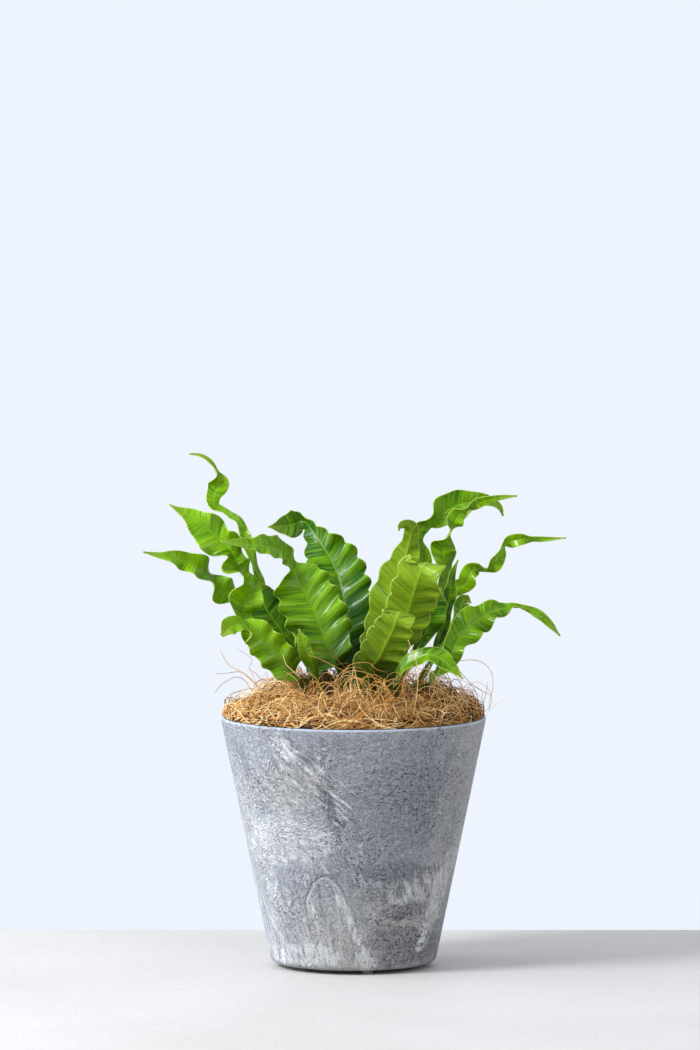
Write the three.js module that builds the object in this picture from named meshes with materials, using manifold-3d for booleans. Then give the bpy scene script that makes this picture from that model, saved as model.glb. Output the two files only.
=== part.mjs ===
// A potted fern of the strap-leaved, crisp-waved kind. Its fronds rise as a loose rosette from a
// short scaly crown, in a tapered stone-grey pot dressed with coconut fibre.
// Millimetres, +Z up. The origin is on the pot's axis, on the surface that it stands on.
// +Y points away from the viewer, +X to the viewer's right.

import * as THREE from 'three';
import { mergeVertices } from 'three/addons/utils/BufferGeometryUtils.js';
import Module from 'manifold-3d';

const wasm = await Module();
wasm.setup();

// Driving dimensions

const POT_RIM_RADIUS = 85;
const POT_RIM_HEIGHT = 160;
const POT_BASE_RADIUS = 52.5;
const POT_CORNER = 4.5;
const POT_WALL = 4.5;
const POT_FLOOR = 7;
const RIM_BEVEL = 1.2;
const RIM_INNER_BEVEL = 1;
const CORNER_STEPS = 3;
const POT_SIDES = 52;

const FOOT_HEIGHT = 2.5;
const FOOT_RADIUS = 4;
const FOOT_TAPER = 0.6;
const FOOT_RING = 43;
const FOOT_COUNT = 3;
const FOOT_FIRST_DEG = -78;
const FOOT_SINK = 1.5;
const FOOT_SIDES = 16;

const SEAT_GAP = 0.3;
const SOIL_HEIGHT = 146;
const SOIL_SIDES = 32;
const CRUMB_COUNT = 14;
const CRUMB_RADIUS = 2;
const CRUMB_SIZES = [0.7, 1.1];
const CRUMB_FLATNESS = 0.7;
const CRUMB_SINK = 0.3;
const CRUMB_SCATTER = 0.4;
const SOIL_SEED = 7;

const CROWN_X = 5;
const CROWN_RADIUS = 25;
const CROWN_HEIGHT = 12;
const CROWN_SIDES = 16;
const CROWN_FOOT_SET_IN = 1.5;
const CROWN_ARC = [22, 44, 66];
const SCALE_COUNT = 8;
const SCALE_SIDES = 5;
const SCALE_SIZE = { radius: 2.6, length: 9, flatness: 0.55, lean: 0.5, ring: 23, height: 4.8 };
const SOCKET_RADIUS = 2.7;
const SOCKET_SIDES = 8;
const SOCKET_BELOW = 0.8;
const SOCKET_LENGTH = 26;
const SOCKET_AIM = 12;

const MULCH_SIDES = 44;
const MULCH_BANDS = 6;
const MULCH_REACH = 83.4;
const MULCH_EDGE_HEIGHT = 162.4;
const MULCH_LIFT = { side: 13.5, left: 17, front: 3.5 };
const MULCH_FALL = { side: 1, left: 1.5 };
const MULCH_RIPPLES = [{ pace: 3, lag: 1, height: 1.1 }, { pace: 7, lag: 0, height: 0.8 }];
const MULCH_MOUTH_LOW = 31;
const MULCH_MOUTH_HIGH = 45;
const MULCH_LIP = 2.5;
const MULCH_RIM_GAP = 0.4;
const MULCH_FRONT = { start: 0.1, length: 0.8 };
const MULCH_ROUGHNESS = 1.5;
const STRAND_COUNT = 44;
const STRAND_RADIUS = 0.62;
const STRAND_SINK = 2.4;
const STRAND_ARCH = [3, 12];
const STRAND_TURN = 1.1;
const STRAND_REACH = [0.15, 0.85];
const STRAND_CHORD = 12;
const STRAND_CLEARANCE = 3.4;
const STRAND_SIDES = 3;
const STRAND_STEPS = 5;
const STRAND_MARKS = [0, 0.22, 0.5, 0.78, 1];
const MULCH_SEED = 41;

// The view of the photograph: its middle pixel looks at VIEW_AIM from VIEW_DISTANCE away, and
// VIEW_RISE is the tangent of the angle at which it looks down. The rim is RIM_PIXELS wide in it.
const VIEW_AIM = [-2.2, 0, 282.5];
const VIEW_DISTANCE = 6000;
const VIEW_RISE = 0.0852;
const VIEW_PIXELS = [700, 1050];
const RIM_PIXELS = 266.6;
const GRAZING = 0.6;

const RIB_SAMPLES = 240;
const SPAN_FINENESS = 60;
const FACE_UPRIGHT = 20;
const STALK_SHARE = 0.07;
const STEP = 6.9;
const STEPS_PER_WAVE = 2.6;
const COLUMNS = [-1, -0.5, 0, 0.5, 1];
const BLADE_THICKNESS = 0.8;
const RIB_THICKNESS = 1.5;
const STALK_THICKNESS = 2.2;
const STALK_EDGE_SHARE = 0.75;
const RIB_SHARPNESS = 1.5;
const STALK_END = 0.12;
const FACE_RISE = 0.4;
const SECOND_WAVE = { height: 0.28, pace: 0.53, lag: 0.2 };
const WAVE_SLANT = 0.35;
const WAVE_STAGGER = 0.3;
const MARGIN_POWER = 1.4;
const SCALLOP = 0.09;
const FULLNESS_POWER = 0.8;
const SWELL = { start: 0.04, length: 0.22 };
const CALM = { start: 0.75, length: 0.25, share: 0.55 };
const USUAL_CUP = 12;

// Fronds
// root: x, y, z and width of the stalk, from its socket up.
// seen: the pixel of the midrib in the photograph, its depth, the blade's width, and its turn from
// facing the viewer in degrees, where 180 shows the underside. hidden: x, y, z and width at the back.
// waves and wave: how many margin waves, and their height. swells: share of that height from base
// to tip. cup: rise of the two halves in degrees, from base to tip.

const FRONDS = {
  frond_01: {
    root: [[-10, 12, 150, 3], [-34, 24, 204, 4]],
    seen: [[266, 605, 34, 6, 20], [258, 577, 36, 7, 50], [252, 558, 38, 7, 30], [245, 536, 42, 7, 20],
      [238, 520, 46, 8, 40], [226, 513, 50, 7, 70], [215, 508, 52, 8, 30], [213, 497, 53, 10, -10],
      [218, 484, 54, 13, 20], [216, 471, 54, 4, 70], [210, 461, 54, 3, 20], [200, 455, 54, 2, 10],
      [189, 454, 54, 1, 0]],
    waves: 8, wave: 2.4, phase: 0.1,
  },
  frond_02: {
    root: [[-5, -2, 152, 3], [-40, -10, 184, 6]],
    seen: [[262, 650, -9, 12, 0], [250, 632, -8, 13, 10], [243, 617, -8, 14, 40], [245, 598, -8, 23, 10],
      [248, 583, -7, 18, 40], [243, 575, -6, 12, 75], [235, 565, -5, 22, 5], [233, 555, -4, 16, 45],
      [222, 542, -1, 23, -10], [209, 530, 1, 24, -10], [194, 519, 4, 14, 5], [180, 511, 7, 5, 25],
      [169, 504, 8, 1, 0]],
    cup: [12, 12, 16, 26, 24, 20],
    waves: 9, wave: 3.6, phase: 0.3,
  },
  frond_03: {
    root: [[-13, 6, 150, 3], [-34, 14, 180, 4]],
    seen: [[262, 628, 24, 9, 0], [247, 612, 24, 11, 30], [232, 597, 22, 15, 50], [220, 589, 19, 18, 20],
      [209, 577, 15, 13, 65], [199, 567, 11, 17, 35], [186, 562, 8, 14, 20], [172, 558, 4, 9, 30],
      [157, 555, 1, 4, 20], [143, 552, -2, 1, 0]],
    waves: 8, wave: 2.8, phase: 0,
  },
  frond_04: {
    root: [[-12, -9, 150, 3], [-34, -21, 184, 15]],
    seen: [[284, 663, -25, 22, 0], [272, 650, -26, 23, 0], [260, 638, -28, 21, -5], [250, 629, -31, 16, 35],
      [243, 625, -35, 9, 60], [235, 624, -40, 12, 10], [228, 628, -44, 12, 0], [222, 636, -48, 3, 0]],
    waves: 9, wave: 3.4, phase: 0.6,
  },
  frond_05: {
    root: [[-4, 4, 152, 3], [-33, 9, 196, 14]],
    seen: [[296, 647, 10, 12, 0], [287, 637, 10, 24, 0], [277, 625, 11, 31, 0], [268, 612, 11, 32, 0],
      [261, 599, 11, 26, 0], [258, 588, 11, 14, 0], [257, 580, 11, 1, 0]],
    waves: 8, wave: 2.2, phase: 0.2,
  },
  frond_06: {
    root: [[-1, -8, 152, 3], [-5, -7, 172, 10], [-9, -6, 190, 23]],
    seen: [[333, 660, -5, 27, 0], [327, 643, -3, 34, 0], [321, 629, -1, 39, 0], [315, 613, 1, 40, 0],
      [307, 597, 4, 38, 0], [301, 585, 6, 36, 0], [297, 577, 7, 31, 10], [291, 566, 7, 14, 60],
      [281, 551, 2, 16, 45], [267, 546, -6, 15, 30], [251, 545, -12, 10, 35], [236, 543, -17, 6, 40],
      [221, 541, -20, 1, 30]],
    waves: 13, wave: 2.6, phase: 0.2,
  },
  frond_07: {
    root: [[3, 10, 152, 3], [0, 19, 175, 12], [-4, 26, 196, 25]],
    seen: [[347, 628, 33, 30, 0], [346, 609, 38, 37, 0], [342, 592, 43, 38, 0], [338, 576, 48, 37, 0],
      [331, 560, 53, 34, 0], [322, 545, 58, 25, -20], [313, 531, 64, 14, -35], [306, 522, 70, 10, -35],
      [300, 521, 73, 13, 0], [293, 524, 71, 18, 0], [281, 526, 69, 11, 0], [268, 527, 67, 1, 0]],
    cup: [12, 12, 12, 12, 20, 8],
    waves: 14, wave: 2.6, phase: 0.5,
  },
  frond_08: {
    root: [[5, -2, 153, 3], [9, -5, 176, 11], [13, -8, 200, 19]],
    seen: [[383, 622, -13, 22, 180], [388, 604, -15, 25, 180], [396, 584, -16, 26, 180],
      [404, 565, -18, 22, 180], [408, 549, -20, 14, 180], [411, 537, -23, 10, 180],
      [411, 528, -27, 9, 170], [406, 524, -31, 7, 150], [400, 526, -34, 5, 130],
      [399, 531, -35, 1, 120]],
    waves: 9, wave: 3.2, phase: 0.1,
  },
  frond_09: {
    root: [[10, -9, 152, 3], [20, -13, 174, 10], [28, -17, 195, 18]],
    seen: [[404, 630, -25, 24, 180], [409, 611, -33, 29, 180], [414, 594, -42, 30, 180],
      [419, 578, -51, 30, 165], [424, 566, -58, 29, 148], [427, 563, -52, 22, 148],
      [431, 567, -43, 11, 148], [434, 573, -38, 1, 148]],
    cup: [12, 12, 12, 10, 2, 2], swells: [1, 1, 1, 0.9, 0.2, 0.1],
    waves: 10, wave: 2.7, phase: 0.4,
  },
  frond_10: {
    root: [[10, -18, 150, 3], [11, -27, 172, 14], [11, -34, 192, 24]],
    seen: [[380, 657, -44, 27, 180], [386, 644, -52, 27, 180], [393, 630, -61, 24, 180],
      [398, 616, -70, 21, 160], [400, 612, -66, 18, 155], [402, 615, -58, 11, 155],
      [403, 621, -54, 1, 155]],
    cup: [12, 12, 12, 10, 3, 2], swells: [1, 1, 1, 0.9, 0.2, 0.1],
    waves: 9, wave: 2.7, phase: 0.7,
  },
  frond_11: {
    root: [[19, -13, 150, 3], [27, -38, 176, 6]],
    seen: [[402, 669, -57, 11, -50], [415, 660, -60, 12, -45], [428, 655, -63, 13, -40],
      [440, 659, -66, 13, -35], [452, 668, -69, 8, -30], [463, 679, -72, 1, -20]],
    waves: 5, wave: 1.1, phase: 0.2,
  },
  frond_12: {
    root: [[13, 6, 152, 3], [42, 29, 203, 4]],
    seen: [[437, 612, 34, 8, 20], [441, 592, 35, 9, 40], [445, 574, 34, 10, 50], [444, 560, 33, 14, 15],
      [443, 548, 32, 17, 0], [447, 538, 31, 11, 60], [451, 530, 31, 6, 80], [454, 522, 30, 11, 20],
      [459, 514, 30, 10, 10], [467, 508, 28, 7, 60], [478, 503, 27, 7, 20], [490, 499, 25, 5, 20],
      [504, 497, 23, 3, 10], [517, 496, 22, 1, 0]],
    waves: 9, wave: 2, phase: 0.2,
  },
  frond_13: {
    root: [[16, 15, 150, 3], [42, 45, 203, 5]],
    seen: [[424, 600, 50, 8, 20], [425, 575, 52, 9, 20], [423, 557, 53, 10, 20], [419, 542, 54, 8, 55],
      [420, 529, 55, 10, 20], [428, 522, 55, 9, 60], [437, 518, 56, 14, 20], [446, 511, 57, 22, -10],
      [458, 505, 58, 21, -10], [470, 502, 59, 14, -10], [483, 500, 60, 9, -10],
      [494, 503, 61, 6, -20], [500, 508, 62, 4, -20], [503, 516, 63, 1, 0]],
    cup: [12, 12, 12, 18, 22],
    waves: 7, wave: 1.8, phase: 0.1,
  },
  frond_14: {
    root: [[24, 4, 150, 3], [54, 16, 201, 4]],
    seen: [[445, 612, 15, 8, 0], [449, 598, 15, 8, 10], [456, 588, 14, 11, 0], [465, 583, 14, 11, 35],
      [470, 573, 13, 11, -10], [478, 567, 13, 9, 30], [487, 569, 13, 6, 75], [495, 565, 12, 9, 20],
      [500, 555, 12, 10, 30], [504, 546, 11, 7, 75], [511, 541, 11, 8, 20], [521, 539, 9, 8, 10],
      [533, 539, 9, 5, 40], [547, 539, 8, 3, 10], [566, 538, 5, 1, 0]],
    waves: 8, wave: 2, phase: 0.5,
  },
  frond_15: {
    root: [[23, -5, 150, 3], [47, -20, 182, 9]],
    seen: [[448, 660, -25, 13, 0], [456, 643, -25, 14, 0], [466, 629, -21, 22, -10],
      [478, 620, -16, 20, -10], [490, 612, -13, 14, -20], [502, 609, -10, 11, -20],
      [514, 607, -8, 5, -60], [526, 608, -7, 4, -20], [538, 614, -6, 6, 0], [549, 623, -5, 5, 0],
      [560, 636, -4, 1, 0]],
    waves: 9, wave: 3.8, phase: 0.3,
  },
  frond_16: {
    root: [[15, 0, 152, 3], [46, 2, 190, 3]],
    seen: [[440, 638, 1, 6, 0], [446, 612, 0, 8, 20], [450, 592, -1, 8, 20], [452, 575, -2, 5, 20],
      [458, 560, -4, 1, 0]],
    waves: 6, wave: 1.6, phase: 0.1,
  },
  frond_17: {
    root: [[21, 10, 150, 3], [54, 33, 198, 4]],
    seen: [[458, 620, 39, 7, 0], [461, 606, 41, 10, 0], [465, 599, 42, 7, 0], [471, 603, 42, 1, 0]],
    waves: 4, wave: 1.6, phase: 0.1,
  },
  frond_18: {
    root: [[14, -5, 152, 3], [33, -2, 191, 3]],
    seen: [[419, 645, -4, 7, 0], [427, 629, -6, 14, 10], [432, 614, -8, 18, 10], [437, 600, -8, 13, 10],
      [441, 588, -9, 1, 0]],
    waves: 6, wave: 1.8, phase: 0.4,
  },
  frond_19: {
    root: [[-7, -15, 150, 3], [-20, -24, 179, 4]],
    seen: [[313, 668, -27, 7, 0], [307, 655, -31, 9, 0], [303, 642, -33, 8, 0], [299, 629, -34, 1, 0]],
    waves: 4, wave: 1, phase: 0.1,
  },
  frond_20: {
    root: [[3, 19, 150, 3], [-2, 40, 200, 8]],
    hidden: [[-6, 57, 226, 24], [-9, 70, 235, 30], [-12, 80, 232, 24], [-15, 86, 221, 1]],
    waves: 8, wave: 3, phase: 0.2,
  },
  frond_21: {
    root: [[-4, 17, 150, 3], [-22, 38, 190, 10]],
    hidden: [[-38, 55, 210, 25], [-50, 70, 213, 26], [-60, 80, 204, 1]],
    waves: 7, wave: 3, phase: 0.2,
  },
  frond_22: {
    root: [[10, 18, 150, 3], [22, 50, 196, 9]],
    hidden: [[33, 65, 214, 25], [43, 76, 215, 24], [50, 83, 205, 1]],
    waves: 7, wave: 3, phase: 0.2,
  },
};

// Small helpers

const clamp01 = (v) => Math.min(1, Math.max(0, v));
const ease = (v) => clamp01(v) ** 2 * (3 - 2 * clamp01(v));
const mix = (a, b, t) => a + (b - a) * t;
const radians = THREE.MathUtils.degToRad;

// Draws that are the same on every run.
function seededRandom(seed) {
  let state = seed;
  return () => {
    state = (state * 1664525 + 1013904223) % 4294967296;
    return state / 4294967296;
  };
}

// The value at a share of the length, eased between evenly spaced values.
function stations(values, share) {
  if (values.length === 1) return values[0];
  const at = clamp01(share) * (values.length - 1);
  const i = Math.min(Math.floor(at), values.length - 2);
  return mix(values[i], values[i + 1], ease(at - i));
}

// A smooth curve through values at their marks, without overshoot.
function through(values, marks, share) {
  const spans = values.length - 1;
  const slope = (k) => (values[k + 1] - values[k]) / (marks[k + 1] - marks[k]);
  const lean = (k) => {
    if (k === 0 || k === spans || slope(k - 1) * slope(k) <= 0) return 0;
    return 2 * slope(k - 1) * slope(k) / (slope(k - 1) + slope(k));
  };
  let k = 0;
  while (k < spans - 1 && share > marks[k + 1]) k += 1;
  const gap = marks[k + 1] - marks[k];
  const t = clamp01((share - marks[k]) / gap);
  const held = mix(values[k], values[k + 1], ease(t));
  return held + gap * (lean(k) * t * (1 - t) ** 2 - lean(k + 1) * t * t * (1 - t));
}

const pitch = Math.atan(VIEW_RISE);
const lookAlong = new THREE.Vector3(0, Math.cos(pitch), -Math.sin(pitch));
const lookUp = new THREE.Vector3(0, Math.sin(pitch), Math.cos(pitch));
const eye = new THREE.Vector3(...VIEW_AIM).addScaledVector(lookAlong, -VIEW_DISTANCE);
const focal = VIEW_DISTANCE * RIM_PIXELS / (2 * POT_RIM_RADIUS);

// The point at a depth (y) that is seen at a pixel of the photograph.
function seenAt(across, down, depth) {
  const ray = new THREE.Vector3((across - VIEW_PIXELS[0] / 2) / focal, 0, 0).add(lookAlong);
  ray.addScaledVector(lookUp, (VIEW_PIXELS[1] / 2 - down) / focal);
  return eye.clone().addScaledVector(ray, (depth - eye.y) / ray.y);
}

function geometryOf(points, faces) {
  const geometry = new THREE.BufferGeometry();
  geometry.setAttribute('position', new THREE.Float32BufferAttribute(points.flat(), 3));
  geometry.setIndex(faces.flat());
  return geometry;
}

function solidOf(geometry) {
  const bare = geometry.clone();
  bare.deleteAttribute('normal');
  bare.deleteAttribute('uv');
  const merged = mergeVertices(bare, 1e-4);
  return new wasm.Manifold(new wasm.Mesh({
    numProp: 3,
    vertProperties: new Float32Array(merged.attributes.position.array),
    triVerts: new Uint32Array(merged.index.array),
  }));
}

function geometryFrom(solid) {
  const mesh = solid.getMesh();
  const geometry = new THREE.BufferGeometry();
  geometry.setAttribute('position', new THREE.BufferAttribute(Float32Array.from(mesh.vertProperties), 3));
  geometry.setIndex(new THREE.BufferAttribute(Uint32Array.from(mesh.triVerts), 1));
  return geometry;
}

// A lathe about +Z from [radius, height] pairs that start and end on the axis.
function turned(profile, sides) {
  const points = profile.map(([radius, height]) => new THREE.Vector2(radius, height));
  return new THREE.LatheGeometry(points, sides).rotateX(Math.PI / 2);
}

// Frond

// The points of the midrib, with the blade's width and its turn at each.
function ribStations(frond) {
  const rooted = [...frond.root, ...(frond.hidden ?? [])].map(([x, y, z, width]) => (
    { point: new THREE.Vector3(x, y, z), width, turn: null }
  ));
  const seen = (frond.seen ?? []).map(([across, down, depth, width, turn]) => (
    { point: seenAt(across, down, depth), width, turn: radians(turn) }
  ));
  return [...rooted, ...seen];
}

// The blade's turn about its midrib at each station, without jumps from one to the next.
// Where the midrib points at the viewer, the blade keeps its turn.
function ribRolls(held, marks, frames) {
  const rolls = [];
  held.forEach(({ turn }, k) => {
    const last = rolls[k - 1] ?? 0;
    const { tangent, normal } = frames[Math.round(marks[k] * RIB_SAMPLES)];
    const toViewer = lookAlong.clone().negate().addScaledVector(tangent, lookAlong.dot(tangent));
    if (turn === null || toViewer.length() < GRAZING) {
      rolls.push(last);
      return;
    }
    toViewer.normalize();
    const aimed = tangent.clone().cross(toViewer).multiplyScalar(Math.sin(turn));
    aimed.addScaledVector(toViewer, Math.cos(turn));
    const roll = Math.atan2(aimed.dot(tangent.clone().cross(normal)), aimed.dot(normal));
    rolls.push(last + THREE.MathUtils.euclideanModulo(roll - last + Math.PI, 2 * Math.PI) - Math.PI);
  });
  return rolls;
}

// The midrib with its upper-face and sideways directions and the blade's half width at each sample.
function ribFrames(frond) {
  const held = ribStations(frond);
  const spans = held.length - 1;
  const curve = new THREE.CatmullRomCurve3(held.map(({ point }) => point));
  curve.arcLengthDivisions = spans * SPAN_FINENESS;
  const lengths = curve.getLengths();
  const marks = held.map((_, k) => lengths[k * SPAN_FINENESS] / lengths[spans * SPAN_FINENESS]);
  const points = curve.getSpacedPoints(RIB_SAMPLES);
  const { x, y } = held[1].point;
  const normal = new THREE.Vector3(CROWN_X - x, -y, FACE_UPRIGHT);
  const frames = points.map((point, i) => {
    const before = points[Math.max(i - 1, 0)];
    const after = points[Math.min(i + 1, RIB_SAMPLES)];
    const tangent = after.clone().sub(before).normalize();
    normal.addScaledVector(tangent, -normal.dot(tangent)).normalize();
    return { point, tangent, normal: normal.clone() };
  });
  const rolls = ribRolls(held, marks, frames);
  const halves = held.map(({ width }) => width / 2);
  return frames.map(({ point, tangent, normal: level }, i) => {
    const turn = through(rolls, marks, i / RIB_SAMPLES);
    const face = tangent.clone().cross(level).multiplyScalar(Math.sin(turn));
    face.addScaledVector(level, Math.cos(turn));
    const half = through(halves, marks, i / RIB_SAMPLES);
    return { point, face, across: tangent.clone().cross(face), half };
  });
}

// A point of the blade's middle face: share along the midrib, column from -1 to 1 across it.
function bladePoint(frond, frames, length, share, column) {
  const at = share * RIB_SAMPLES;
  const i = Math.min(Math.floor(at), RIB_SAMPLES - 1);
  const { point, face, across } = ['point', 'face', 'across'].reduce((all, key) => {
    all[key] = frames[i][key].clone().lerp(frames[i + 1][key], at - i);
    return all;
  }, {});
  const half = mix(frames[i].half, frames[i + 1].half, at - i);
  const out = Math.abs(column);
  const along = clamp01((share - STALK_SHARE) / (1 - STALK_SHARE));
  const calm = 1 - CALM.share * ease((along - CALM.start) / CALM.length);
  const swell = ease((along - SWELL.start) / SWELL.length) * calm;
  const fullness = (half / Math.max(...frames.map((frame) => frame.half))) ** FULLNESS_POWER;
  const side = column < 0 ? 0 : WAVE_STAGGER;
  const turns = frond.waves * (along - WAVE_SLANT * out * half / length) + frond.phase + side;
  const second = turns * SECOND_WAVE.pace + SECOND_WAVE.lag + side;
  const ripple = Math.sin(2 * Math.PI * turns) + SECOND_WAVE.height * Math.sin(2 * Math.PI * second);
  const slope = Math.tan(radians(stations(frond.cup ?? [USUAL_CUP], share)));
  const high = frond.wave * swell * fullness * stations(frond.swells ?? [1], share);
  const rise = out * half * slope + high * ripple * out ** MARGIN_POWER;
  const scallop = 1 + SCALLOP * swell * out * Math.cos(2 * Math.PI * turns);
  const spread = column * half * scallop / Math.sqrt(1 + slope * slope);
  return point.addScaledVector(across, spread).addScaledVector(face, rise);
}

function thicknessAt(share, column) {
  const stalk = 1 - ease(share / STALK_END);
  const edge = mix(BLADE_THICKNESS, STALK_THICKNESS * STALK_EDGE_SHARE, stalk);
  const rib = mix(mix(RIB_THICKNESS, BLADE_THICKNESS, share), STALK_THICKNESS, stalk);
  return mix(edge, rib, (1 - Math.abs(column)) ** RIB_SHARPNESS);
}

// One frond: both faces carry the same diagonals, so that they stay apart in the waves.
function frondGeometry(frond) {
  const frames = ribFrames(frond);
  let length = 0;
  for (let i = 1; i <= RIB_SAMPLES; i += 1) {
    length += frames[i].point.distanceTo(frames[i - 1].point);
  }
  const steps = Math.round(Math.max(length / STEP, frond.waves * STEPS_PER_WAVE));
  const middle = [];
  for (let i = 0; i <= steps; i += 1) {
    middle.push(COLUMNS.map((column) => bladePoint(frond, frames, length, i / steps, column)));
  }
  const last = COLUMNS.length - 1;
  const upper = [];
  const lower = [];
  for (let i = 0; i <= steps; i += 1) {
    for (let j = 0; j <= last; j += 1) {
      const along = middle[Math.min(i + 1, steps)][j].clone().sub(middle[Math.max(i - 1, 0)][j]);
      const across = middle[i][Math.min(j + 1, last)].clone().sub(middle[i][Math.max(j - 1, 0)]);
      const normal = across.cross(along).normalize();
      const { face } = frames[Math.round(i / steps * RIB_SAMPLES)];
      if (normal.dot(face) < 0) normal.negate();
      const thickness = thicknessAt(i / steps, COLUMNS[j]);
      upper.push(middle[i][j].clone().addScaledVector(normal, FACE_RISE).toArray());
      lower.push(middle[i][j].clone().addScaledVector(normal, FACE_RISE - thickness).toArray());
    }
  }
  const row = COLUMNS.length;
  const under = upper.length;
  const faces = [];
  const quad = (a, b, c, d) => faces.push([a, b, c], [a, c, d]);
  for (let i = 0; i < steps; i += 1) {
    for (let j = 0; j < last; j += 1) {
      const k = i * row + j;
      const m = under + k;
      quad(k, k + 1, k + row + 1, k + row);
      faces.push([m, m + row + 1, m + 1], [m, m + row, m + row + 1]);
    }
    const left = i * row;
    const right = left + last;
    quad(left, left + row, under + left + row, under + left);
    quad(right, under + right, under + right + row, right + row);
  }
  for (let j = 0; j < last; j += 1) {
    const tip = steps * row + j;
    quad(j, under + j, under + j + 1, j + 1);
    quad(tip, tip + 1, under + tip + 1, under + tip);
  }
  return geometryOf([...upper, ...lower], faces);
}

// Pot

const slope = (POT_RIM_RADIUS - POT_BASE_RADIUS) / (POT_RIM_HEIGHT - FOOT_HEIGHT);
const outerRadius = (height) => POT_BASE_RADIUS + (height - FOOT_HEIGHT) * slope;
const innerRadius = (height) => outerRadius(height) - POT_WALL;
const floorHeight = FOOT_HEIGHT + POT_FLOOR;

function potGeometry() {
  // The corner's arc runs from the flat underside until it meets the sloping wall.
  const centre = POT_BASE_RADIUS + POT_CORNER * (slope - Math.sqrt(1 + slope * slope));
  const sweep = Math.PI / 2 - Math.atan(slope);
  const corner = Array.from({ length: CORNER_STEPS + 1 }, (_, i) => {
    const angle = i / CORNER_STEPS * sweep;
    return [centre + POT_CORNER * Math.sin(angle), FOOT_HEIGHT + POT_CORNER * (1 - Math.cos(angle))];
  });
  const shell = turned([
    [0, FOOT_HEIGHT],
    ...corner,
    [outerRadius(POT_RIM_HEIGHT - RIM_BEVEL), POT_RIM_HEIGHT - RIM_BEVEL],
    [POT_RIM_RADIUS - RIM_BEVEL, POT_RIM_HEIGHT],
    [innerRadius(POT_RIM_HEIGHT) + RIM_INNER_BEVEL, POT_RIM_HEIGHT],
    [innerRadius(POT_RIM_HEIGHT - RIM_INNER_BEVEL), POT_RIM_HEIGHT - RIM_INNER_BEVEL],
    [innerRadius(floorHeight + POT_CORNER), floorHeight + POT_CORNER],
    [innerRadius(floorHeight) - POT_CORNER, floorHeight],
    [0, floorHeight],
  ], POT_SIDES);
  let pot = solidOf(shell);
  for (let i = 0; i < FOOT_COUNT; i += 1) {
    const angle = radians(FOOT_FIRST_DEG + i * 360 / FOOT_COUNT);
    const height = FOOT_HEIGHT + FOOT_SINK;
    const foot = new THREE.CylinderGeometry(FOOT_RADIUS, FOOT_RADIUS - FOOT_TAPER, height, FOOT_SIDES);
    foot.rotateX(Math.PI / 2);
    foot.translate(FOOT_RING * Math.cos(angle), FOOT_RING * Math.sin(angle), height / 2);
    pot = pot.add(solidOf(foot));
  }
  return geometryFrom(pot);
}

// Soil

function soilGeometry() {
  const low = floorHeight + SEAT_GAP;
  const knee = floorHeight + POT_CORNER + SEAT_GAP;
  let soil = solidOf(turned([
    [0, low],
    [innerRadius(low) - POT_CORNER - SEAT_GAP * 2, low],
    [innerRadius(knee) - SEAT_GAP * 2, knee],
    [innerRadius(SOIL_HEIGHT) - SEAT_GAP * 2, SOIL_HEIGHT],
    [0, SOIL_HEIGHT],
  ], SOIL_SIDES));
  const random = seededRandom(SOIL_SEED);
  for (let i = 0; i < CRUMB_COUNT; i += 1) {
    const angle = (i + CRUMB_SCATTER * random()) / CRUMB_COUNT * 2 * Math.PI;
    const reach = (CROWN_RADIUS + MULCH_MOUTH_LOW) / 2;
    const crumb = new THREE.OctahedronGeometry(CRUMB_RADIUS * mix(...CRUMB_SIZES, random()));
    crumb.scale(1, 1, CRUMB_FLATNESS);
    crumb.rotateZ(2 * Math.PI * random());
    crumb.translate(CROWN_X + reach * Math.cos(angle), reach * Math.sin(angle), SOIL_HEIGHT - CRUMB_SINK);
    soil = soil.add(solidOf(crumb));
  }
  return geometryFrom(soil);
}

// Crown

const ribs = Object.values(FRONDS).map((frond) => ribFrames(frond));

// The short scaly rootstock, with a plain socket for the foot of every frond.
// Crumbs that the sockets cut loose are left out.
function crownGeometry() {
  const bottom = SOIL_HEIGHT + SEAT_GAP;
  const profile = [[0, bottom], [CROWN_RADIUS - CROWN_FOOT_SET_IN, bottom]];
  for (const degrees of CROWN_ARC) {
    const angle = radians(degrees);
    profile.push([CROWN_RADIUS * Math.cos(angle), bottom + CROWN_HEIGHT * Math.sin(angle)]);
  }
  profile.push([0, bottom + CROWN_HEIGHT]);
  let crown = solidOf(turned(profile, CROWN_SIDES));
  for (let i = 0; i < SCALE_COUNT; i += 1) {
    const angle = (i + 0.5) / SCALE_COUNT * 2 * Math.PI;
    const scale = new THREE.ConeGeometry(SCALE_SIZE.radius, SCALE_SIZE.length, SCALE_SIDES);
    const reach = SCALE_SIZE.ring;
    scale.scale(1, 1, SCALE_SIZE.flatness);
    scale.rotateX(Math.PI / 2 - SCALE_SIZE.lean);
    scale.rotateZ(angle + Math.PI / 2);
    scale.translate(reach * Math.cos(angle), reach * Math.sin(angle), bottom + SCALE_SIZE.height);
    crown = crown.add(solidOf(scale));
  }
  crown = crown.translate([CROWN_X, 0, 0]);
  for (const frames of ribs) {
    const foot = frames[0].point;
    const axis = frames[SOCKET_AIM].point.clone().sub(foot).normalize();
    const socket = new THREE.CylinderGeometry(SOCKET_RADIUS, SOCKET_RADIUS, SOCKET_LENGTH, SOCKET_SIDES);
    socket.applyQuaternion(new THREE.Quaternion().setFromUnitVectors(new THREE.Vector3(0, 1, 0), axis));
    const centre = foot.clone().addScaledVector(axis, SOCKET_LENGTH / 2 - SOCKET_BELOW);
    socket.translate(centre.x, centre.y, centre.z);
    crown = crown.subtract(solidOf(socket));
  }
  const pieces = crown.decompose().sort((a, b) => b.volume() - a.volume());
  return geometryFrom(pieces[0]);
}

// Coconut fibre mulch

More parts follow.
